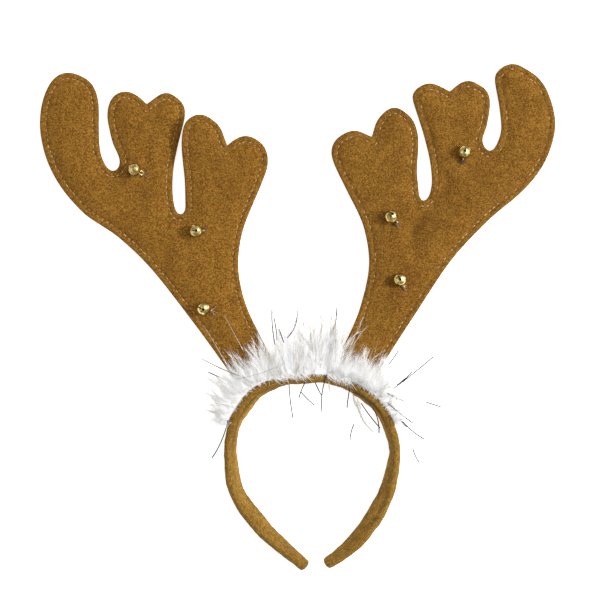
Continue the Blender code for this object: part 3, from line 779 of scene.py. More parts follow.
# middle of the slot beside the left antler's inner tine, upwards, in photo pixels
TINE_SLOT = np.array([
    (178.5, 216), (179.1, 208), (177.5, 200), (176.8, 192), (176.7, 184), (177, 176),
    (177.6, 168), (178.9, 160), (179.5, 152), (180.3, 144), (181.6, 136), (183.4, 128),
    (186.8, 120), (189.1, 112), (186.9, 104), (178.5, 96),
])
TINE_RAISE = 10.5
TINE_LENGTH = 62.0


def foot_lift(points):
    """The lift at the foot: FOOT_LIFT beside the hoop, and an S down to none over the bend."""
    away = edge_distance(points, hoop_line, closed=False) - HOOP_HALF_THICK
    return FOOT_LIFT * (1.0 - smooth_step(away / FOOT_BEND))


def tine_raise(side, points):
    """The left inner tine bends up: an S of the distance beyond the slot's bottom, for the
    points on the right of the slot."""
    if side == "right":
        return np.zeros(len(points))
    slot_x, slot_y = from_photo(*TINE_SLOT.T)
    beyond = points[:, 1] - slot_y[0]
    on_tine = points[:, 0] > np.interp(points[:, 1], slot_y, slot_x)
    return TINE_RAISE * smooth_step(beyond / TINE_LENGTH) * on_tine


def folds(side, points):
    """Long soft folds. Each is its height times a bell curve of the distance across it, and
    fades past both ends in the same way, because the distance is to its middle line."""
    total = np.zeros(len(points))
    for fold_side, start, end, height, width in FOLDS:
        if fold_side == side:
            line = np.array([from_photo(*start), from_photo(*end)])
            total += height * bell_curve(edge_distance(points, line, closed=False), width)
    return total


def lie(side, points):
    """The height that both layers of an antler share."""
    return foot_lift(points) + tine_raise(side, points)


def front_top(side, points):
    """The height of the front face: rim, seam groove and wadding by the distance from the
    edge, then folds and two sizes of noise, which fade towards the edge."""
    deep = edge_distance(points, edges[side, "front"])
    rim = RIM_THICKNESS - RIM_ROUNDING * (1.0 - smooth_step(deep / RIM_WIDTH)) ** 2
    roll = ROLL_HEIGHT * bell_curve(deep - ROLL_INSET, RIM_WIDTH)
    seam = SEAM_DEPTH * bell_curve(deep - SEAM_INSET, SEAM_WIDTH)
    hoop_away = edge_distance(points, hoop_line, closed=False)
    swell = WADDING_HEIGHT * smooth_step(deep / WADDING_REACH) * smooth_step(hoop_away / FOOT_BEND)
    inner = smooth_step((deep - FOLD_INSET) / FOLD_REACH)
    uneven = folds(side, points) + noise_of(points, INNER_NOISE)
    base = BACK_THICKNESS + SEAM_GAP + lie(side, points)
    return base + rim + roll - seam + swell + uneven * inner + noise_of(points, CLOTH_NOISE)


print("highest fold in mm:", max(abs(row[3]) for row in FOLDS))

# %% [markdown]
# ## Filling the outline
# A sheet of cloth with slots in it is no simple grid, so the outline is filled with
# triangles. Rings of points follow the edge inwards, close together where the rim, the seam
# and the first swell are, and a loose grid fills the rest. The same filling gives the upper
# and the lower face, and a wall joins them along the edge.

# %% Cloth layers
RING_INSETS = (0.35, 0.9, 1.7, 2.6, 3.6, 4.5, 5.4, 6.6, 8.2)
GRID_STEP = 2.8
# height of an even triangle with sides of one
ROW_SHARE = 0.87
# a ring's point stays if this share of its inset is free, the grid's beyond this share of a step
RING_CLEAR, GRID_CLEAR = 0.96, 0.6
CLOSEST_POINTS = 1e-4
# least divisor at a sharp notch, which keeps the offset short there
SHARPEST = 0.3
BACK_NOISE = [(0.08, 12.0, 21)]


def inward(outline):
    """For each point of a closed loop, the way into it that keeps an even distance on both
    sides: the sum of the two sides' normals over one plus their product."""
    ahead = unit(np.roll(outline, -1, axis=0) - outline)
    behind = np.roll(ahead, 1, axis=0)
    first = np.column_stack([-behind[:, 1], behind[:, 0]])
    second = np.column_stack([-ahead[:, 1], ahead[:, 0]])
    return (first + second) / np.maximum(1 + (first * second).sum(axis=1, keepdims=True), SHARPEST)


def fill(outline):
    """Flat points and triangles that fill an outline, with its own points kept."""
    rings = []
    for inset in RING_INSETS:
        ring = outline + inward(outline) * inset
        rings.append(ring[edge_distance(ring, outline) > inset * RING_CLEAR])
    low, high = outline.min(axis=0), outline.max(axis=0)
    columns = np.arange(low[0], high[0], GRID_STEP)
    x, y = np.meshgrid(columns, np.arange(low[1], high[1], GRID_STEP * ROW_SHARE))
    x = x + (np.arange(len(x)) % 2)[:, None] * GRID_STEP / 2
    grid = np.column_stack([x.ravel(), y.ravel()])
    grid = grid[inside(grid, outline)]
    grid = grid[edge_distance(grid, outline) > RING_INSETS[-1] + GRID_STEP * GRID_CLEAR]
    flat = [Vector(p) for p in np.vstack([outline, *rings, grid]).tolist()]
    filled = delaunay_2d_cdt(flat, [], [list(range(len(outline)))], 1, CLOSEST_POINTS)
    return np.array([tuple(v) for v in filled[0]]), np.array(filled[2])


def cloth_layer(outline, low, high):
    """A closed layer of cloth: the filled outline twice, at the two heights, and a wall of
    four-sided faces on each edge that belongs to one triangle only."""
    flat, triangles = fill(outline)
    count = len(flat)
    walls = [(a, b, b + count, a + count) for a, b in sorted(lone_sides(triangles))]
    points = np.vstack([np.column_stack([flat, low(flat)]), np.column_stack([flat, high(flat)])])
    return points, triangles[:, ::-1].tolist() + (triangles + count).tolist() + walls


for side, felt in (("left", felt_left), ("right", felt_right_painted_shade)):
    back_points, back_faces = cloth_layer(
        edges[side, "back"],
        lambda p: np.maximum(lie(side, p) + noise_of(p, BACK_NOISE), 0.0),
        lambda p: lie(side, p) + BACK_THICKNESS,
    )
    back = new_piece(
        "antler_" + side + "_back_felt", back_points, back_faces, felt,
        ["antler_" + side + "_back"],
    )
    front_points, front_faces = cloth_layer(
        edges[side, "front"],
        lambda p: lie(side, p) + BACK_THICKNESS + SEAM_GAP,
        lambda p: front_top(side, p),
    )
    front = new_piece(
        "antler_" + side + "_front_felt", front_points, front_faces, felt,
        ["antler_" + side + "_front"],
    )

# %% [markdown]
# ## The running stitch
# A machine sews both layers together with a thin thread: about 3 mm of thread shows, then
# 1 mm is inside the cloth. The thread is a tiny tube that sinks in at both ends. The left
# antler has tan thread, and on the right one the stitches are pale, with dark brown ones
# among them as painted shade.

# %% Thread material


def thread_material(name, dark, light):
    """Twisted polyester thread: the tone of each stitch comes from the first number of the
    piece's own map, and a fine twist along it from waves, at four turns to the millimetre."""
    material, tree, shader = new_material(name)
    place = add_node(tree, "UVMap", uv_map="OFBake").outputs["UV"]
    shade = colour_between(tree, own_tone(tree), linear(dark), linear(light))
    twist = add_node(tree, "TexWave", {"Vector": place, "Scale": 4.0, "Distortion": 0.0}, bands_direction="Y")
    ply = add_node(tree, "Bump", {"Height": twist.outputs[1], "Strength": 0.3, "Distance": 0.05 * MM})
    tree.links.new(shade, shader.inputs["Base Color"])
    tree.links.new(ply.outputs["Normal"], shader.inputs["Normal"])
    shader.inputs["Roughness"].default_value = 0.55
    shader.inputs["Sheen Weight"].default_value = 0.2
    return material


tan_thread = thread_material("tan_polyester_thread", "#B48C50", "#E0C28E")
tan_thread_with_painted_shade = thread_material("tan_thread_painted_shade", "#5A3C1C", "#E0C28E")
print("threads:", tan_thread.name, tan_thread_with_painted_shade.name)

# %% Stitches
STITCH_PITCH = 4.1
STITCH_LENGTH = 3.1
STITCH_RADIUS = 0.25
STITCH_STEPS = 5
STITCH_SIDES = 4
FOOT_WITHOUT_STITCHES = 9.0
# the most that a stitch slips along the seam or sinks deeper, and its spread aside, in mm
STITCH_SLIP, STITCH_SUNK, STITCH_ASIDE = 0.35, 0.22, 0.16
STITCH_BOW, STITCH_ARCH, STITCH_SINK = 0.05, 0.62, 0.34
# share of the right antler's stitches painted dark brown, as painted shade
SHARE_PAINTED_DARK = 0.45


def seam_stitches(outline, height, seed, turned):
    """Stitches along the line at an even inset. Each starts a pitch after the last, and its
    height is the cloth's, plus a low arch that ends below the cloth. turned is -1 below."""
    line = outline + inward(outline) * SEAM_INSET
    kept = edge_distance(line, hoop_line, closed=False) > FOOT_WITHOUT_STITCHES
    first = np.flatnonzero(kept & ~np.roll(kept, 1))[0]
    line, kept = np.roll(line, -first, axis=0), np.roll(kept, -first)
    line = line[kept]
    run = run_along(line)
    chance = np.random.default_rng(seed)
    start = np.arange(0.5, run[-1] - STITCH_PITCH, STITCH_PITCH)
    share = np.linspace(0, 1, STITCH_STEPS)
    slip = chance.uniform(-STITCH_SLIP, STITCH_SLIP, (len(start), 1))
    at = start[:, None] + slip + share * STITCH_LENGTH
    x, y = np.interp(at, run, line[:, 0]), np.interp(at, run, line[:, 1])
    flat = np.stack([x, y], axis=-1)
    flat += chance.normal(0, STITCH_ASIDE, (len(start), 1, 2)) + np.sin(np.pi * share)[:, None] * STITCH_BOW
    sunk = chance.uniform(0.0, STITCH_SUNK, (len(start), 1))
    arch = STITCH_ARCH * np.sin(np.pi * share) ** 0.6 - STITCH_SINK - sunk
    z = height(flat.reshape(-1, 2)).reshape(x.shape) + turned * arch
    lines = np.concatenate([flat, z[..., None]], axis=-1)
    radius = np.broadcast_to(STITCH_RADIUS * (0.75 + 0.25 * np.sin(np.pi * share)), x.shape)
    return lines, radius, chance.uniform(0, 1, len(start))


for side, thread in (("left", tan_thread), ("right", tan_thread_with_painted_shade)):
    faces_of_cloth = (
        ("front", lambda p: front_top(side, p), 1.0),
        ("back", lambda p: np.maximum(lie(side, p), 0.12), -0.25),
    )
    for layer, height, turned in faces_of_cloth:
        lines, radius, tone = seam_stitches(edges[side, layer], height, 31, turned)
        lines[..., 2] = np.maximum(lines[..., 2], STITCH_RADIUS)
        if side == "right":
            # some stitches on the right are painted dark brown, as painted shade
            tone = np.where(tone < SHARE_PAINTED_DARK, tone * 0.4, 0.6 + 0.4 * tone)
        points, faces = strands(lines, radius, STITCH_SIDES)
        uv = strand_uv(tone, STITCH_STEPS, STITCH_SIDES)
        new_piece("stitches_" + side + "_" + layer, points, faces, thread, uv=uv)
        print(side, layer, "stitches:", len(lines))

# %% [markdown]
# ## White down
# The trim is marabou, the soft down of a bird with long loose barbs, twisted on a cord and
# sewn along the hoop. What the eye sees is thousands of fine white barbs: dense and opaque
# near the cord, then open tufts with pointed tips. A solid body of locks stands for the dense
# inside, and fine tapered strands grow through it in plumes: a plume is a bent spine, and its
# barbs leave it on all sides and curl forward. How far it all reaches along the hoop was read
# off the photograph.

# %% Down material
DOWN_GLOW = 0.19


def down_material(name, shaded, white):
    """Down: matt and white, and greyer by the first number of the piece's own map, which gives
    painted shade on thin tips and stray hairs, and a little grey near the cord at the left
    end. Light goes through so many barbs that a render gives up before it comes out again,
    and a faint glow of the same colour makes up for that."""
    material, tree, shader = new_material(name)
    shade = colour_between(tree, own_tone(tree), linear(shaded), linear(white))
    tree.links.new(shade, shader.inputs["Base Color"])
    shader.inputs["Roughness"].default_value = 0.85
    shader.inputs["Specular IOR Level"].default_value = 0.2
    tree.links.new(shade, shader.inputs["Emission Color"])
    shader.inputs["Emission Strength"].default_value = DOWN_GLOW
    return material


down = down_material("white_marabou_down", "#B4AF9F", "#F3F3F4")
print("down:", down.name)

# %% Reach of the down along the hoop
# hoop row, reach in mm
DOWN_REACH = np.array([
    (6.15, 5.0), (6.5, 18.0), (7.0, 28.0), (7.5, 31.0), (8.0, 31.0), (8.5, 35.0), (9.0, 43.0),
    (9.4, 53.0), (9.8, 57.0), (10.2, 57.0), (10.6, 55.0), (10.8, 46.0), (11.0, 23.0), (11.2, 21.0),
    (11.4, 30.0), (11.7, 36.0), (12.0, 36.0), (12.4, 30.0), (12.8, 22.0), (13.2, 14.0), (13.6, 6.0),
])
# where an antler's foot passes through the trim: hoop rows
FEET = [(7.6, 9.05), (10.45, 12.0)]
FOOT_TOP = 10.4
DOWN_LOW, DOWN_HIGH = 0.6, 14.0
FOOT_FADE = 0.12
# the down near the cord is this white at the left end and 1 from these rows on
LEFT_TONE, TONE_FROM, TONE_OVER = 0.85, 7.2, 0.8


def over_foot(row):
    """1 where the trim lies over an antler's foot, 0 elsewhere, with a short S between."""
    return sum(smooth_step((row - a) / FOOT_FADE) * smooth_step((b - row) / FOOT_FADE) for a, b in FEET)


def body_tone(row):
    """The tone of the down near the cord, a little greyer at the left end."""
    return LEFT_TONE + (1.0 - LEFT_TONE) * smooth_step((row - TONE_FROM) / TONE_OVER)


print("longest reach of the down in mm:", DOWN_REACH[:, 1].max())

# %% Body of the trim
CORE_STATIONS = 260
CORE_LEVELS = 26
CORE_SHARE = 0.32
CORE_LOCK = 5.2
# how far in mm the body draws in at its ends, over what length, and lies under the hoop's face
CORE_END_DROP, CORE_END_LENGTH, CORE_INSET = 3.0, 9.0, 0.1
# height as a share of the reach, size in mm, seed
CORE_NOISE = [(0.13, 6.0, 42), (0.07, 2.6, 43)]
# the second number of the body's map, where a strand has the share along it
CORE_ALONG = 0.6


def down_core():
    """The dense inside of the trim. At a station and an angle a from bottom to top, the
    height is between the lowest and the highest point by (1 - cos a) / 2, and the reach is
    sin(a)^0.8. Locks are a wave of about 5 mm that noise bends, plus finer noise."""
    row = np.linspace(DOWN_REACH[0, 0] + 0.1, DOWN_REACH[-1, 0] - 0.1, CORE_STATIONS)
    middle, outward = hoop_frame(row)[:2]
    run = run_along(middle)
    reach = np.interp(row, *DOWN_REACH.T) * CORE_SHARE
    fade = smooth_step((run + 1.0) / CORE_END_LENGTH) * smooth_step((run[-1] - run + 1.0) / CORE_END_LENGTH)
    drop = CORE_END_DROP * (1 - fade)
    low = DOWN_LOW + (FOOT_TOP - DOWN_LOW) * over_foot(row) + drop
    high = np.maximum(low + 2.0, DOWN_HIGH - drop)
    angle = np.pi * np.arange(CORE_LEVELS) / (CORE_LEVELS - 1)
    height = low[:, None] + (high - low)[:, None] * (1 - np.cos(angle)) / 2
    place = np.stack(np.broadcast_arrays(run[:, None], height), axis=-1)
    lock = np.sin(np.pi * (run[:, None] / CORE_LOCK + 0.5 * soft_noise(place, 14.0, 41))) ** 2
    size = np.maximum(0.72 + 0.28 * lock + noise_of(place, CORE_NOISE), 0.2)
    out = outer_face(row, height) - CORE_INSET + reach[:, None] * np.sin(angle) ** 0.8 * size
    face = middle[:, None, :2] + outward[:, None, :2] * out[..., None]
    points = np.concatenate([face, height[..., None]], axis=-1)
    tone = np.broadcast_to(body_tone(row)[:, None], height.shape)
    return row, points, np.stack([tone, np.full(height.shape, CORE_ALONG)], axis=-1)


core_rows, core_points, core_uv = down_core()
core_faces = tube_faces(CORE_STATIONS, CORE_LEVELS)
new_piece("marabou_body", core_points, core_faces, down, ["marabou_trim"], uv=core_uv)

# %% [markdown]
# The plumes are listed by zone. A zone says between which rows of the hoop its plumes are
# sewn, how high their roots are, how far they rise, how far they turn along the hoop, how
# widely their barbs stand off, and how white they are. Over the antlers' feet the roots are
# high, so the down lies on the felt, and a few low ones lie under it.

# %% Plume zones
# zone, first row, last row, plumes, barbs on each, root heights, rise in mm, turn in degrees,
# share of the reach, barb angle in degrees, barb length in mm, tone, thickness
# a low tone paints a plume grey, as painted shade on thin tips against the white
PLUME_ZONES = [
    ("left_tips", 6.30, 7.55, 40, 40, (3.0, 14.0), (-3, 5), 14, (0.80, 1.12), 15, 8.0, 0.62, 1.0),
    ("left_soft", 6.25, 7.75, 48, 40, (4.0, 15.3), (-2, 9), 22, (0.35, 0.85), 34, 8.0, 0.92, 1.0),
    ("left_foot", 7.60, 9.05, 90, 42, (11.0, 15.6), (-1, 6), 17, (0.22, 1.05), 28, 9.0, 0.85, 0.8),
    ("left_under", 7.65, 9.00, 8, 30, (1.5, 4.0), (-1, 1), 20, (0.4, 0.7), 30, 7.0, 0.9, 1.0),
    ("crown", 8.95, 10.60, 124, 48, (3.0, 15.6), (-3, 9), 14, (0.36, 1.0), 44, 8.5, 1.0, 1.0),
    ("crown_right", 10.35, 10.72, 36, 46, (10.5, 15.6), (0, 9), 5, (0.35, 0.92), 34, 8.5, 1.0, 1.0),
    ("crown_tips", 10.00, 10.85, 20, 36, (9.0, 14.5), (2, 8), 14, (0.86, 1.02), 24, 7.0, 0.0, 1.2),
    ("right_foot", 10.85, 12.30, 108, 38, (10.8, 15.6), (-1, 6), 15, (0.10, 1.0), 30, 8.5, 0.85, 0.7),
    ("right_under", 10.60, 11.90, 8, 30, (1.5, 4.0), (-1, 1), 20, (0.4, 0.7), 30, 7.0, 0.9, 1.0),
    ("right_end", 12.10, 13.45, 54, 40, (3.0, 15.0), (-2, 7), 22, (0.35, 1.0), 32, 7.5, 1.0, 1.0),
]
BARB_STEPS = 4
BARB_REACH = 5.0
BARB_RADIUS = 0.13
BARB_TIP_RADIUS = 0.03
BARB_CURL, BARB_FALL = 0.35, 0.10
# spread of a plume's row, its bend and fall as shares of its length, its least length in mm
ROW_SPREAD, PLUME_BEND, PLUME_FALL, PLUME_LEAST = 0.03, 0.13, 0.10, 2.5
# strands keep this far from the felt and the table, and above the top of the hoop
FELT_CLEAR, TABLE_CLEAR, HOOP_TOP = 0.3, 0.2, 15.1
FOOT_DEPTH = 3.0


def taper(steps):
    """The radius at even steps along a barb: from the root's to the tip's, as (1 - v)^0.8."""
    return BARB_TIP_RADIUS + (BARB_RADIUS - BARB_TIP_RADIUS) * (1 - np.linspace(0, 1, steps)) ** 0.8


def barbs_of(chance, start, reach, bend, barbs, spread, barb_length, tone, thickness=1.0):
    """The barbs of some plumes. A spine is start + reach u + bend u^2. A barb leaves it at a
    share u, at an angle that narrows towards the tip, and is the line of its own way v, plus
    the spine's way and a fall times v^2, plus a small wave."""
    shape = (len(start), barbs, 1)
    share = chance.beta(1.15, 1.1, shape)
    root = start[:, None] + reach[:, None] * share + bend[:, None] * share ** 2
    onward = unit(reach[:, None] + 2 * bend[:, None] * share)
    aside = unit(np.cross(onward, chance.normal(size=(len(start), barbs, 3))))
    angle = np.radians(spread) * (1.0 - 0.5 * share) * chance.uniform(0.5, 1.5, shape)
    way = onward * np.cos(angle) + aside * np.sin(angle)
    length = barb_length * (1.0 - 0.4 * share) * chance.uniform(0.5, 1.25, shape)
    v = np.linspace(0, 1, BARB_STEPS)[:, None]
    root, onward, aside, way, length = (a[:, :, None] for a in (root, onward, aside, way, length))
    phase = chance.uniform(0, 2 * np.pi, root.shape[:3] + (1,))
    wave = np.cross(way, aside) * 0.07 * np.sin(5.0 * v + phase) + aside * 0.05 * np.cos(6.0 * v + phase)
    curl = onward * BARB_CURL - UPWARD * BARB_FALL
    lines = root + length * (way * v + curl * v ** 2 + wave * v)
    lines = lines.reshape(-1, BARB_STEPS, 3)
    radius = thickness * taper(BARB_STEPS) * chance.uniform(0.75, 1.2, (len(lines), 1))
    tones = np.clip(tone + chance.normal(0, 0.1, len(start)), 0, 1)
    return lines, radius, np.repeat(tones, barbs)


def zone_barbs(seed, first, last, count, barbs, root, rise, turn, shares, *barb_facts):
    """The barbs of a zone's plumes, with their roots spread over the hoop's outer face. A
    spine goes out over its share of the reach, less what the barbs add, and up by its rise."""
    chance = np.random.default_rng(seed)
    row = np.linspace(first, last, count) + chance.normal(0, ROW_SPREAD, count)
    middle, outward, along = hoop_ways(row)
    height = chance.uniform(*root, count)
    start = middle + outward * outer_face(row, height)[:, None]
    start[:, 2] = height
    swing = np.radians(chance.normal(0, turn, count))[:, None]
    way = outward * np.cos(swing) + along * np.sin(swing)
    share = shares[0] + (shares[1] - shares[0]) * chance.uniform(0, 1, count) ** 1.25
    length = np.interp(row, *DOWN_REACH.T) * share - BARB_REACH
    length = np.maximum(length, PLUME_LEAST)[:, None]
    spine = way * length + UPWARD * chance.uniform(*rise, count)[:, None]
    bend = unit(chance.normal(size=(count, 3))) * length * PLUME_BEND - UPWARD * length * PLUME_FALL
    return barbs_of(chance, start, spine, bend, barbs, *barb_facts)


def rest_on_felt(lines):
    """Strands that cross an antler are lifted on to it, or pressed under it if they start
    lower than its foot. Nothing reaches below the table or into the hoop's upper face."""
    flat = lines[..., :2].reshape(-1, 2)
    z = lines[..., 2].reshape(-1)
    high = np.repeat(lines[:, 0, 2] > FOOT_TOP - FOOT_DEPTH, lines.shape[1])
    for side in ("left", "right"):
        on = np.flatnonzero(inside(flat, edges[side, "front"]))
        above = front_top(side, flat[on]) + FELT_CLEAR
        below = np.maximum(lie(side, flat[on]) - FELT_CLEAR, TABLE_CLEAR)
        z[on] = np.where(high[on], np.maximum(z[on], above), np.minimum(z[on], below))
    over = (edge_distance(flat, hoop_line, closed=False) < HOOP_HALF_THICK + FELT_CLEAR) & high
    z = np.where(over, np.maximum(z, HOOP_TOP), z)
    lines[..., 2] = np.maximum(z, TABLE_CLEAR).reshape(lines.shape[:2])
    return lines


def down_piece(name, parts):
    """One piece from the barbs of several zones."""
    lines, radius, tone = (np.concatenate(column) for column in zip(*parts))
    points, faces = strands(rest_on_felt(lines), radius)
    uv = strand_uv(tone, lines.shape[1], 3)
    new_piece(name, points, faces, down, ["marabou_trim"], uv=uv)
    print(name, "barbs:", len(lines))


plumes = {}
for seed, (zone, *facts) in enumerate(PLUME_ZONES):
    plumes[zone] = zone_barbs(seed + 60, *facts)
print("barbs in each zone:", {zone: len(parts[0]) for zone, parts in plumes.items()})

# %% [markdown]
# The body itself is hidden under a coat: short barbs that grow from all of its surface and
# lie outwards, as the down near the cord does.

# %% Coat of the body
COAT_BARBS = 9000
COAT_LENGTH = (4.0, 9.0)
COAT_CURL, COAT_FALL = 0.3, 0.22


def coat_barbs(seed, count):
    """Barbs from random places of the body's grid. The way of each is outwards from the hoop,
    plus half of the surface's normal and some chance. It bends outwards and falls."""
    chance = np.random.default_rng(seed)
    i = chance.integers(0, CORE_STATIONS, count)
    j = chance.integers(2, CORE_LEVELS - 1, count)
    step_row, step_level = np.gradient(core_points, axis=0), np.gradient(core_points, axis=1)
    normal = unit(np.cross(step_row, step_level))[i, j]
    root = core_points[i, j] + chance.uniform(-0.5, 0.5, (count, 1)) * step_row[i, j]
    root = root + chance.uniform(-0.5, 0.5, (count, 1)) * step_level[i, j] - normal * 0.2
    outward = hoop_frame(core_rows[i])[1]
    way = unit(outward + 0.5 * normal + 0.28 * chance.normal(size=(count, 3)))
    size = 0.35 + 0.65 * np.interp(core_rows[i], *DOWN_REACH.T) / DOWN_REACH[:, 1].max()
    length = (chance.uniform(*COAT_LENGTH, count) * size)[:, None, None]
    v = np.linspace(0, 1, BARB_STEPS)[:, None]
    curl = outward[:, None] * COAT_CURL - UPWARD * COAT_FALL
    lines = root[:, None] + length * (way[:, None] * v + curl * v ** 2)
    radius = taper(BARB_STEPS) * chance.uniform(0.8, 1.2, (count, 1))
    tone = body_tone(core_rows[i]) + chance.normal(0, 0.08, count)
    return lines, radius, np.clip(tone, 0, 1)


coat = coat_barbs(57, COAT_BARBS)
print("barbs in the coat:", len(coat[0]))

# %% [markdown]
# Some down leaves its place. Short barbs lean over the hoop's upper edge and let the brown
# show through. A few long single hairs stand out of the trim. Two loose tufts hang down
# inside the hoop, under its crown.

# %% Strays
# name, first row, last row, number, length in mm, direction out of the head, mean turn and
# spread of turns in degrees, tones
# low tones paint hairs and tufts grey, as painted shade on thin strands against the white
HAIR_BANDS = [
    ("over_left", 6.8, 8.9, 130, (1.0, 3.0), -1, 30, 30, (0.8, 1.0)),
    ("over_left_crown", 8.7, 9.72, 110, (2.0, 5.0), -1, 35, 25, (0.9, 1.0)),
    ("across_left", 8.7, 9.66, 60, (6.0, 10.0), -1, 50, 12, (0.6, 1.0)),
    ("over_middle", 9.6, 10.5, 70, (0.8, 2.2), -1, 0, 35, (0.9, 1.0)),
    ("over_right_crown", 10.42, 11.35, 100, (2.0, 5.0), -1, 35, 25, (0.9, 1.0)),
    ("across_right", 10.36, 11.3, 55, (6.0, 10.0), -1, 50, 12, (0.6, 1.0)),
    ("over_right", 11.3, 13.2, 120, (1.0, 3.0), -1, 30, 30, (0.8, 1.0)),
    ("fine_left", 6.3, 9.0, 60, (20.0, 36.0), 1, 0, 26, (0.0, 0.7)),
    ("fine_crown", 8.9, 10.75, 44, (42.0, 64.0), 1, 0, 13, (0.0, 0.3)),
    ("fine_right", 11.0, 13.4, 70, (18.0, 32.0), 1, 0, 24, (0.0, 0.8)),
]
HAIR_STEPS = 7
HAIR_THICKNESS = 1.3
HOOP_EDGE_RISE = 5.0
# where a hair's root is: mm out of the hoop's outer face, and height
HAIR_ASIDE, HAIR_ROOT = (-0.8, 1.8), (14.6, 16.2)
# most climb in degrees, then the bend each way, the fall and the wave as shares of the length
HAIR_CLIMB = 12
HAIR_BEND, HAIR_FALL, HAIR_WAVE = (0.24, 0.24, 0.07), 0.42, 0.03
# loose tufts: from and to in photo pixels, barbs, barb angle, barb length in mm, tone
TUFTS = [
    ((329.0, 381.0), (330.5, 394.0), 70, 11, 4.5, 0.55),
    ((352.0, 393.0), (363.0, 420.0), 160, 22, 7.0, 0.55),
    ((364.0, 421.0), (372.0, 431.0), 60, 24, 4.0, 0.1),
    ((357.0, 398.0), (361.0, 408.0), 44, 24, 4.0, 0.5),
]
TUFT_HEIGHT, TUFT_DROP = 12.0, 4.0
TUFT_BEND = np.array([[1.2, -0.6, 0.8]])


def hair_band(seed, first, last, count, lengths, direction, lean, turn, tones):
    """Single hairs from the hoop's outer upper edge: a straight way, a bend and a wave."""
    chance = np.random.default_rng(seed)
    row = chance.uniform(first, last, count)
    middle, outward, along = hoop_ways(row)
    out = outer_face(row, middle[:, 2] + HOOP_EDGE_RISE) + chance.uniform(*HAIR_ASIDE, count)
    start = middle + outward * out[:, None]
    start[:, 2] = chance.uniform(*HAIR_ROOT, count)
    swing = np.radians(chance.normal(lean, turn, count))[:, None]
    climb = np.radians(chance.uniform(0, HAIR_CLIMB, count))[:, None]
    level = outward * direction * np.cos(swing) + along * np.sin(swing)
    way = level * np.cos(climb) + UPWARD * np.sin(climb)
    length = chance.uniform(*lengths, (count, 1, 1))
    v = np.linspace(0, 1, HAIR_STEPS)[:, None]
    bend = unit(chance.normal(size=(count, 1, 3))) * HAIR_BEND - UPWARD * HAIR_FALL * np.sin(climb)[:, None]
    wave = unit(chance.normal(size=(count, 1, 3))) * HAIR_WAVE * np.sin(6.0 * v)
    lines = start[:, None] + length * (way[:, None] * v + bend * v ** 2 + wave)
    radius = np.broadcast_to(HAIR_THICKNESS * taper(HAIR_STEPS), (count, HAIR_STEPS))
    return lines, radius, chance.uniform(*tones, count)


strays = [hair_band(90 + k, *row[1:]) for k, row in enumerate(HAIR_BANDS)]
tufts = []
for k, (start_pixel, end_pixel, barbs, spread, barb_length, tone) in enumerate(TUFTS):
    a = np.array([*from_photo(*start_pixel, TUFT_HEIGHT), TUFT_HEIGHT])
    b = np.array([*from_photo(*end_pixel, TUFT_HEIGHT - TUFT_DROP), TUFT_HEIGHT - TUFT_DROP])
    chance = np.random.default_rng(120 + k)
    spine = (b - a)[None] - TUFT_BEND
    tufts.append(barbs_of(chance, a[None], spine, TUFT_BEND, barbs, spread, barb_length, tone))

down_piece("marabou_coat", [coat])
down_piece("marabou_plumes_left", [plumes[z] for z in ("left_tips", "left_soft", "left_foot", "left_under")])
down_piece("marabou_plumes_crown", [plumes[z] for z in ("crown", "crown_tips")])
down_piece("marabou_plumes_right", [
    plumes[z] for z in ("crown_right", "right_foot", "right_under", "right_end")
] + tufts)
down_piece("marabou_hairs", strays)

# %% [markdown]
# ## Tinsel
# Single strands of silver film are twisted in with the down. A strand is a strip about
# 0.5 mm wide, cut from a bright film. It is a mirror whose colour is painted as painted
# reflection: dark grey where it stands over the white down, and pale where it lies on the felt.
# Each one was placed by the ends that the photograph shows, and springs up out of the down in
# a shallow curve.

# %% Tinsel strands
# from and to in photo pixels, sideways bow as a share of the length, lift in mm
TINSEL = [
    ((202, 359), (245, 378), 0.02, 6.0), ((285, 363), (237, 379), -0.04, 17.0),
    ((243, 350), (224, 315), 0.0, 0.0), ((226, 364), (204, 326), 0.01, 0.0),
    ((275, 345), (272, 309), -0.03, 0.0), ((284, 343), (279, 329), 0.0, 0.0),
    ((289, 383), (293, 418), 0.02, 0.0), ((306, 381), (299, 398), 0.04, 0.0),
    ((301, 392), (314, 405), 0.02, 0.0), ((315, 382), (322, 396), 0.02, 0.0),
    ((327, 374), (322, 412), 0.06, 0.0), ((352, 378), (347, 408), 0.02, 0.0),
    ((353, 392), (379, 433), -0.17, 0.0), ((361, 403), (380, 428), 0.02, 0.0),
    ((354, 424), (350, 441), 0.05, 0.0), ((356, 360), (355, 374), 0.03, 0.0),
    ((393, 389), (433, 357), 0.01, 0.0), ((389, 364), (398, 351), 0.02, 0.0),
    ((385, 392), (404, 401), 0.02, 0.0), ((388, 403), (413, 423), 0.02, 0.0),
    ((399, 417), (424, 439), 0.05, 0.0), ((426, 402), (441, 407), 0.0, 0.0),
    ((228, 420), (212, 458), -0.05, 0.0), ((339, 363), (354, 380), 0.02, 0.0),
    ((277, 340), (274, 318), 0.02, 0.0), ((399, 417), (407, 427), 0.08, 0.0),
    ((413, 449), (419, 462), 0.05, 0.0), ((397, 385), (412, 372), 0.02, 0.0),
    ((208, 372), (226, 380), 0.0, 0.0), ((333, 330), (336, 308), 0.08, 0.0),
    ((287, 338), (297, 310), 0.12, 0.0), ((345, 372), (365, 380), 0.05, 0.0),
]
TINSEL_STEPS = 14
TINSEL_RADIUS, TINSEL_RADIUS_ON_FELT = 0.40, 0.13
TINSEL_FLATNESS = 0.6
TINSEL_ROOT, TINSEL_FALL, TINSEL_ARCH = 15.5, 7.0, 2.5
TINSEL_CLEAR = 0.6
FILM_CREASE = 0.9
FILM_GLOSS = (0.18, 0.42)


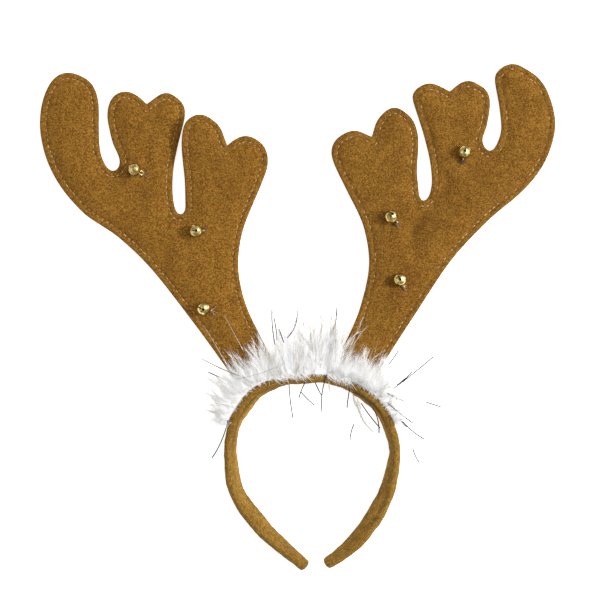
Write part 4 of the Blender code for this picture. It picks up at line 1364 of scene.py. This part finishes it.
def film_material(name, dark, bright):
    """Vapour-coated polyester film: a mirror with faint creases across the strip, from noise
    of about a millimetre. The first number of the piece's own map sets its painted colour, as
    painted reflection: dark where it stands off the felt and pale where it lies on it."""
    material, tree, shader = new_material(name)
    place = add_node(tree, "TexCoord").outputs["Object"]
    shade = colour_between(tree, own_tone(tree), linear(dark), linear(bright))
    crease = add_node(tree, "TexNoise", {
        "Vector": place, "Scale": 1 / (FILM_CREASE * MM), "Detail": 1.0,
    }).outputs[0]
    gloss = ranged(tree, crease, 0.0, 1.0, *FILM_GLOSS)
    fold = add_node(tree, "Bump", {"Height": crease, "Strength": 0.4, "Distance": 0.1 * MM})
    tree.links.new(gloss, shader.inputs["Roughness"])
    tree.links.new(fold.outputs["Normal"], shader.inputs["Normal"])
    tree.links.new(shade, shader.inputs["Base Color"])
    shader.inputs["Metallic"].default_value = 1.0
    return material


def tinsel_lines():
    """A strand runs from its first to its second end, with a sideways bow and a rise of the
    middle that both follow 4 t (1 - t)."""
    start = np.array([row[0] for row in TINSEL], float)[..., None]
    step = np.array([row[1] for row in TINSEL], float)[..., None] - start
    bow, lift = np.array([row[2:] for row in TINSEL]).T[..., None]
    t = np.linspace(0, 1, TINSEL_STEPS)
    arch = 4 * t * (1 - t)
    across = start[:, 0] + step[:, 0] * t - step[:, 1] * bow * arch
    down_page = start[:, 1] + step[:, 1] * t + step[:, 0] * bow * arch
    height = TINSEL_ROOT - TINSEL_FALL * t + TINSEL_ARCH * arch + lift
    x, y = from_photo(across, down_page, height)
    return np.stack([x, y, height], axis=-1)


film_with_painted_reflection = film_material("silver_film_painted_reflection", "#37393D", "#C4BCAD")
tinsel = tinsel_lines()
# the share of each strand on the felt: it paints the strand pale there, as painted reflection, and makes it
# thinner
tinsel_painted_pale_share = np.zeros(len(TINSEL))
for side in ("left", "right"):
    flat = tinsel[..., :2].reshape(-1, 2)
    on_felt = inside(flat, edges[side, "front"])
    felt_height = np.where(on_felt, front_top(side, flat) + TINSEL_CLEAR, 0.0)
    tinsel[..., 2] = np.maximum(tinsel[..., 2], felt_height.reshape(tinsel.shape[:2]))
    tinsel_painted_pale_share += on_felt.reshape(tinsel.shape[:2]).mean(axis=1)
tinsel_painted_pale_share = smooth_step((tinsel_painted_pale_share - 0.3) / 0.4)
tinsel_radius = TINSEL_RADIUS + (TINSEL_RADIUS_ON_FELT - TINSEL_RADIUS) * tinsel_painted_pale_share
tinsel_points, tinsel_faces = strands(
    tinsel, np.repeat(tinsel_radius[:, None], TINSEL_STEPS, axis=1), sides=4, flatness=TINSEL_FLATNESS,
)
tinsel_uv = strand_uv(tinsel_painted_pale_share, TINSEL_STEPS, 4)
new_piece("tinsel_strands", tinsel_points, tinsel_faces, film_with_painted_reflection, uv=tinsel_uv, smooth=False)
print("tinsel strands:", len(TINSEL))

# %% [markdown]
# ## Jingle bells
# A small jingle bell is pressed from one disc of brass: a ball with a slot across its lower
# half that ends in two round holes, a faint ridge round its middle and a wire loop on top.
# The ball is a profile turned round the axis. A Solidify modifier gives it the thickness of
# the sheet, and Boolean modifiers cut the slot.

# %% Brass and steel
# ends of the wear noise that give the whole range of roughness, and of colour
GLOSS_LOW, GLOSS_HIGH = 0.3, 0.7
WEAR_LOW, WEAR_HIGH = 0.38, 0.62


def polished_metal(name, worn, bright, low, high, scratch):
    """Pressed sheet that was tumbled to a shine: a colour that is duller where it tarnished,
    and a roughness that wanders between two values, both over patches of the given size."""
    material, tree, shader = new_material(name)
    place = add_node(tree, "TexCoord").outputs["Object"]
    wear = add_node(tree, "TexNoise", {
        "Vector": place, "Scale": 1 / (scratch * MM), "Detail": 4.0, "Roughness": 0.7,
    }).outputs[0]
    gloss = ranged(tree, wear, GLOSS_LOW, GLOSS_HIGH, low, high)
    shade = colour_between(tree, ranged(tree, wear, WEAR_LOW, WEAR_HIGH), linear(worn), linear(bright))
    dent = add_node(tree, "Bump", {"Height": wear, "Strength": 0.2, "Distance": 0.15 * MM})
    tree.links.new(shade, shader.inputs["Base Color"])
    tree.links.new(gloss, shader.inputs["Roughness"])
    tree.links.new(dent.outputs["Normal"], shader.inputs["Normal"])
    shader.inputs["Metallic"].default_value = 1.0
    return material


brass = polished_metal("tumbled_brass", "#96762E", "#EFDD9A", 0.16, 0.30, 3.5)
steel = polished_metal("dull_steel_ball", "#7C7C7A", "#A6A6A4", 0.25, 0.45, 0.6)
for node_name, node_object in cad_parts.items():
    if node_name.startswith("pellet_"):
        node_object.data.materials.clear()
        node_object.data.materials.append(steel)
print("metals:", brass.name, steel.name)

# %% Bell shape
# name, heading, tilt and roll in degrees, as on the solids
BELLS = [
    ("left_tine", -24.0, 20.0, 70.0),
    ("left_palm", 0.0, 34.0, 0.0),
    ("left_stem", -14.0, 28.0, 12.0),
    ("right_tine", -100.0, 24.0, 0.0),
    ("right_palm", -48.0, 20.0, -25.0),
    ("right_stem", -60.0, 26.0, 0.0),
]
BELL_RADIUS = 5.0
BELL_WALL = 0.5
BELL_RIDGE = 0.16
BELL_RIDGE_ANGLE = 0.07
BELL_AROUND = 56
BELL_RINGS = 40
PELLET_DROP = 2.8
SLOT_WIDTH = 0.9
SLOT_HOLE_RADIUS = 1.0
SLOT_HALF_ANGLE = 62.0
LOOP_RADIUS, LOOP_WIRE, LOOP_RISE = 1.5, 0.45, 6.1


def ball_points():
    """A ball as rings of points: at angle b from the pole the ring's radius is r sin b and
    its height r cos b, where r is the bell's radius plus a narrow bell curve at the middle.
    The first and last rings are almost points, and one face closes each."""
    b = np.linspace(0.01, np.pi - 0.01, BELL_RINGS)[:, None]
    a = 2 * np.pi * np.arange(BELL_AROUND) / BELL_AROUND
    r = BELL_RADIUS - BELL_RIDGE / 2 + BELL_RIDGE * bell_curve(b - np.pi / 2, BELL_RIDGE_ANGLE)
    return np.stack([r * np.sin(b) * np.cos(a), r * np.sin(b) * np.sin(a), r * np.cos(b) + 0 * a], axis=-1)


def loop_points(around=28, sides=12):
    """A ring of wire: a circle of the wire's radius carried round a circle in the XZ plane."""
    a = 2 * np.pi * np.arange(around)[:, None] / around
    c = 2 * np.pi * np.arange(sides) / sides
    r = LOOP_RADIUS + LOOP_WIRE * np.cos(c)
    return np.stack([r * np.cos(a), LOOP_WIRE * np.sin(c) + 0 * a, LOOP_RISE + r * np.sin(a)], axis=-1)


def cutter(name, build):
    """A hidden object for a Boolean, from a function that adds its shape to a bmesh."""
    shape = bmesh.new()
    build(shape)
    mesh = bpy.data.meshes.new(name)
    shape.to_mesh(mesh)
    shape.free()
    tool = bpy.data.objects.new(name, mesh)
    bpy.context.scene.collection.objects.link(tool)
    tool.hide_render = True
    return tool


def slot_bar(shape):
    """A bar across the lower half, as deep as the slot reaches up the ball."""
    top, bottom = -BELL_RADIUS * math.cos(math.radians(SLOT_HALF_ANGLE)), -BELL_RADIUS - 1.0
    size = Vector((BELL_RADIUS * 2.4, SLOT_WIDTH, top - bottom)) * MM
    place = Vector((0, 0, (top + bottom) / 2)) * MM
    bmesh.ops.create_cube(shape, size=1.0, matrix=Matrix.LocRotScale(place, None, size))


def slot_hole(end):
    """A function that adds the round hole at one end of the slot."""
    tilt = Matrix.Rotation(math.radians(180.0 - end * SLOT_HALF_ANGLE), 4, "Y")

    def build(shape):
        bmesh.ops.create_cone(
            shape, cap_ends=True, segments=24, depth=3.0 * MM, radius1=SLOT_HOLE_RADIUS * MM,
            radius2=SLOT_HOLE_RADIUS * MM, matrix=tilt @ Matrix.Translation((0, 0, BELL_RADIUS * MM)),
        )
    return build


def bell_pattern():
    """One bell about its centre: the ball with its wall and slot, and the loop beside it."""
    ball = ball_points()
    mesh = bpy.data.meshes.new("bell_pattern")
    faces = tube_faces(BELL_RINGS, BELL_AROUND)
    mesh.from_pydata((ball.reshape(-1, 3) * MM).tolist(), [], faces)
    shell = bpy.data.objects.new("bell_pattern", mesh)
    bpy.context.scene.collection.objects.link(shell)
    wall = shell.modifiers.new("wall", "SOLIDIFY")
    wall.thickness = BELL_WALL * MM
    wall.offset = -1.0
    tools = [cutter("slot_bar", slot_bar), cutter("hole_a", slot_hole(-1)), cutter("hole_b", slot_hole(1))]
    for tool in tools:
        cut = shell.modifiers.new(tool.name, "BOOLEAN")
        cut.operation = "DIFFERENCE"
        cut.object = tool
    bpy.context.view_layer.update()
    cut_mesh = bpy.data.meshes.new_from_object(shell.evaluated_get(bpy.context.evaluated_depsgraph_get()))
    for thing in [shell, *tools]:
        bpy.data.objects.remove(thing)
    points = np.empty(len(cut_mesh.vertices) * 3)
    cut_mesh.vertices.foreach_get("co", points)
    points = points.reshape(-1, 3) / MM
    faces = [list(p.vertices) for p in cut_mesh.polygons]
    loop = loop_points()
    rings, sides = loop.shape[:2]
    loop_faces = grid_faces(rings + 1, sides) % (rings * sides) + len(points)
    return np.vstack([points, loop.reshape(-1, 3)]), faces + loop_faces.tolist()


bell_points, bell_faces = bell_pattern()
bell_places = {}
for bell_name, heading, tilt, roll in BELLS:
    low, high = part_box("pellet_" + bell_name)
    centre = (low + high) / 2 + Vector((0, 0, PELLET_DROP * MM))
    turned = (
        Matrix.Rotation(math.radians(heading), 3, "Z")
        @ Matrix.Rotation(math.radians(90.0 + tilt), 3, "Y")
        @ Matrix.Rotation(math.radians(roll), 3, "Z")
    )
    points = bell_points @ np.array(turned).T + np.array(centre) / MM
    bell = new_piece("brass_bell_" + bell_name, points, bell_faces, brass, ["bell_" + bell_name])
    bell.data.set_sharp_from_angle(angle=math.radians(40))
    bell_places[bell_name] = (np.array(centre) / MM, np.array(turned))

# %% [markdown]
# ## Sewing threads at the bells
# Each bell hangs by its loop from a few turns of thread, and the ends of the thread stand
# out. Every turn is an arch from the cloth through the loop and back, and an end is a short
# curl over the felt. On the outer right bell the thread is dark and knotted in a clump.

# %% Bell threads
# bell, turns, ends, reach of the ends in mm, tone
BELL_THREADS = [
    ("left_tine", 10, 6, 4.0, 0.40),
    ("left_palm", 10, 5, 3.5, 0.25),
    ("left_stem", 8, 5, 5.0, 0.70),
    ("right_tine", 14, 9, 3.6, 0.0),
    ("right_palm", 9, 5, 3.2, 0.40),
    ("right_stem", 9, 5, 3.2, 0.50),
]
THREAD_RADIUS = 0.19
THREAD_STEPS = 12
THREAD_SIDES = 6
# least mm from the cloth to the loop, and how far an arch's feet sink into the cloth
LOOP_LEAST, ARCH_SINK = 0.9, 0.25


def bell_threads(seed, side, centre, turned, turns, ends, reach, tone):
    """Arches: the place along the loop's axis is cos, and the height above the cloth is sin,
    of an angle from 0 to pi. Ends: a way out along the cloth with a bend and a rise and fall."""
    chance = np.random.default_rng(seed)
    loop = centre + turned @ np.array([0.0, 0.0, LOOP_RISE])
    level = np.array([1.0, 1.0, 0.0])
    axis = unit((turned @ np.array([0.0, 1.0, 0.0])) * level)
    out = unit((turned @ np.array([0.0, 0.0, 1.0])) * level)
    cloth = front_top(side, loop[None, :2])[0]
    angle = np.linspace(0, np.pi, THREAD_STEPS)
    across = np.cos(angle)[:, None]
    half = chance.uniform(1.1, 2.0, (turns, 1, 1))
    offset = chance.uniform(-0.2, 1.3, (turns, 1, 1))
    slant = chance.normal(0, 0.35, (turns, 1, 1))
    arch = loop * level + axis * half * across + out * (offset + slant * across)
    top = max(loop[2] - cloth, LOOP_LEAST) + chance.uniform(0.3, 1.4, (turns, 1))
    arch[..., 2] = cloth - ARCH_SINK + top * np.sin(angle) ** 0.7
    heading = chance.uniform(-1.4, 1.4, ends)[:, None, None]
    way = out * np.cos(heading) + axis * np.sin(heading)
    v = np.linspace(0, 1, THREAD_STEPS)[:, None]
    bend = np.cross(way, UPWARD) * chance.normal(0, 0.5, (ends, 1, 1))
    length = reach * chance.uniform(0.5, 1.0, (ends, 1, 1))
    tail = loop * level + out + length * (way * v + bend * v ** 2)
    tail[..., 2] = cloth + 0.1 + 1.6 * np.sin(np.pi * np.clip(v[:, 0] * 0.9, 0, 1))
    lines = np.concatenate([arch, tail])
    radius = np.full(lines.shape[:2], THREAD_RADIUS)
    return lines, radius, np.clip(tone + chance.normal(0, 0.08, len(lines)), 0, 1)


bell_thread = thread_material("brown_and_rose_sewing_thread", "#3A2114", "#C39A7E")
for k, (bell_name, *facts) in enumerate(BELL_THREADS):
    lines, radius, tone = bell_threads(150 + k, bell_name.split("_")[0], *bell_places[bell_name], *facts)
    points, faces = strands(lines, radius, THREAD_SIDES)
    uv = strand_uv(tone, THREAD_STEPS, THREAD_SIDES)
    new_piece("thread_" + bell_name, points, faces, bell_thread, uv=uv)
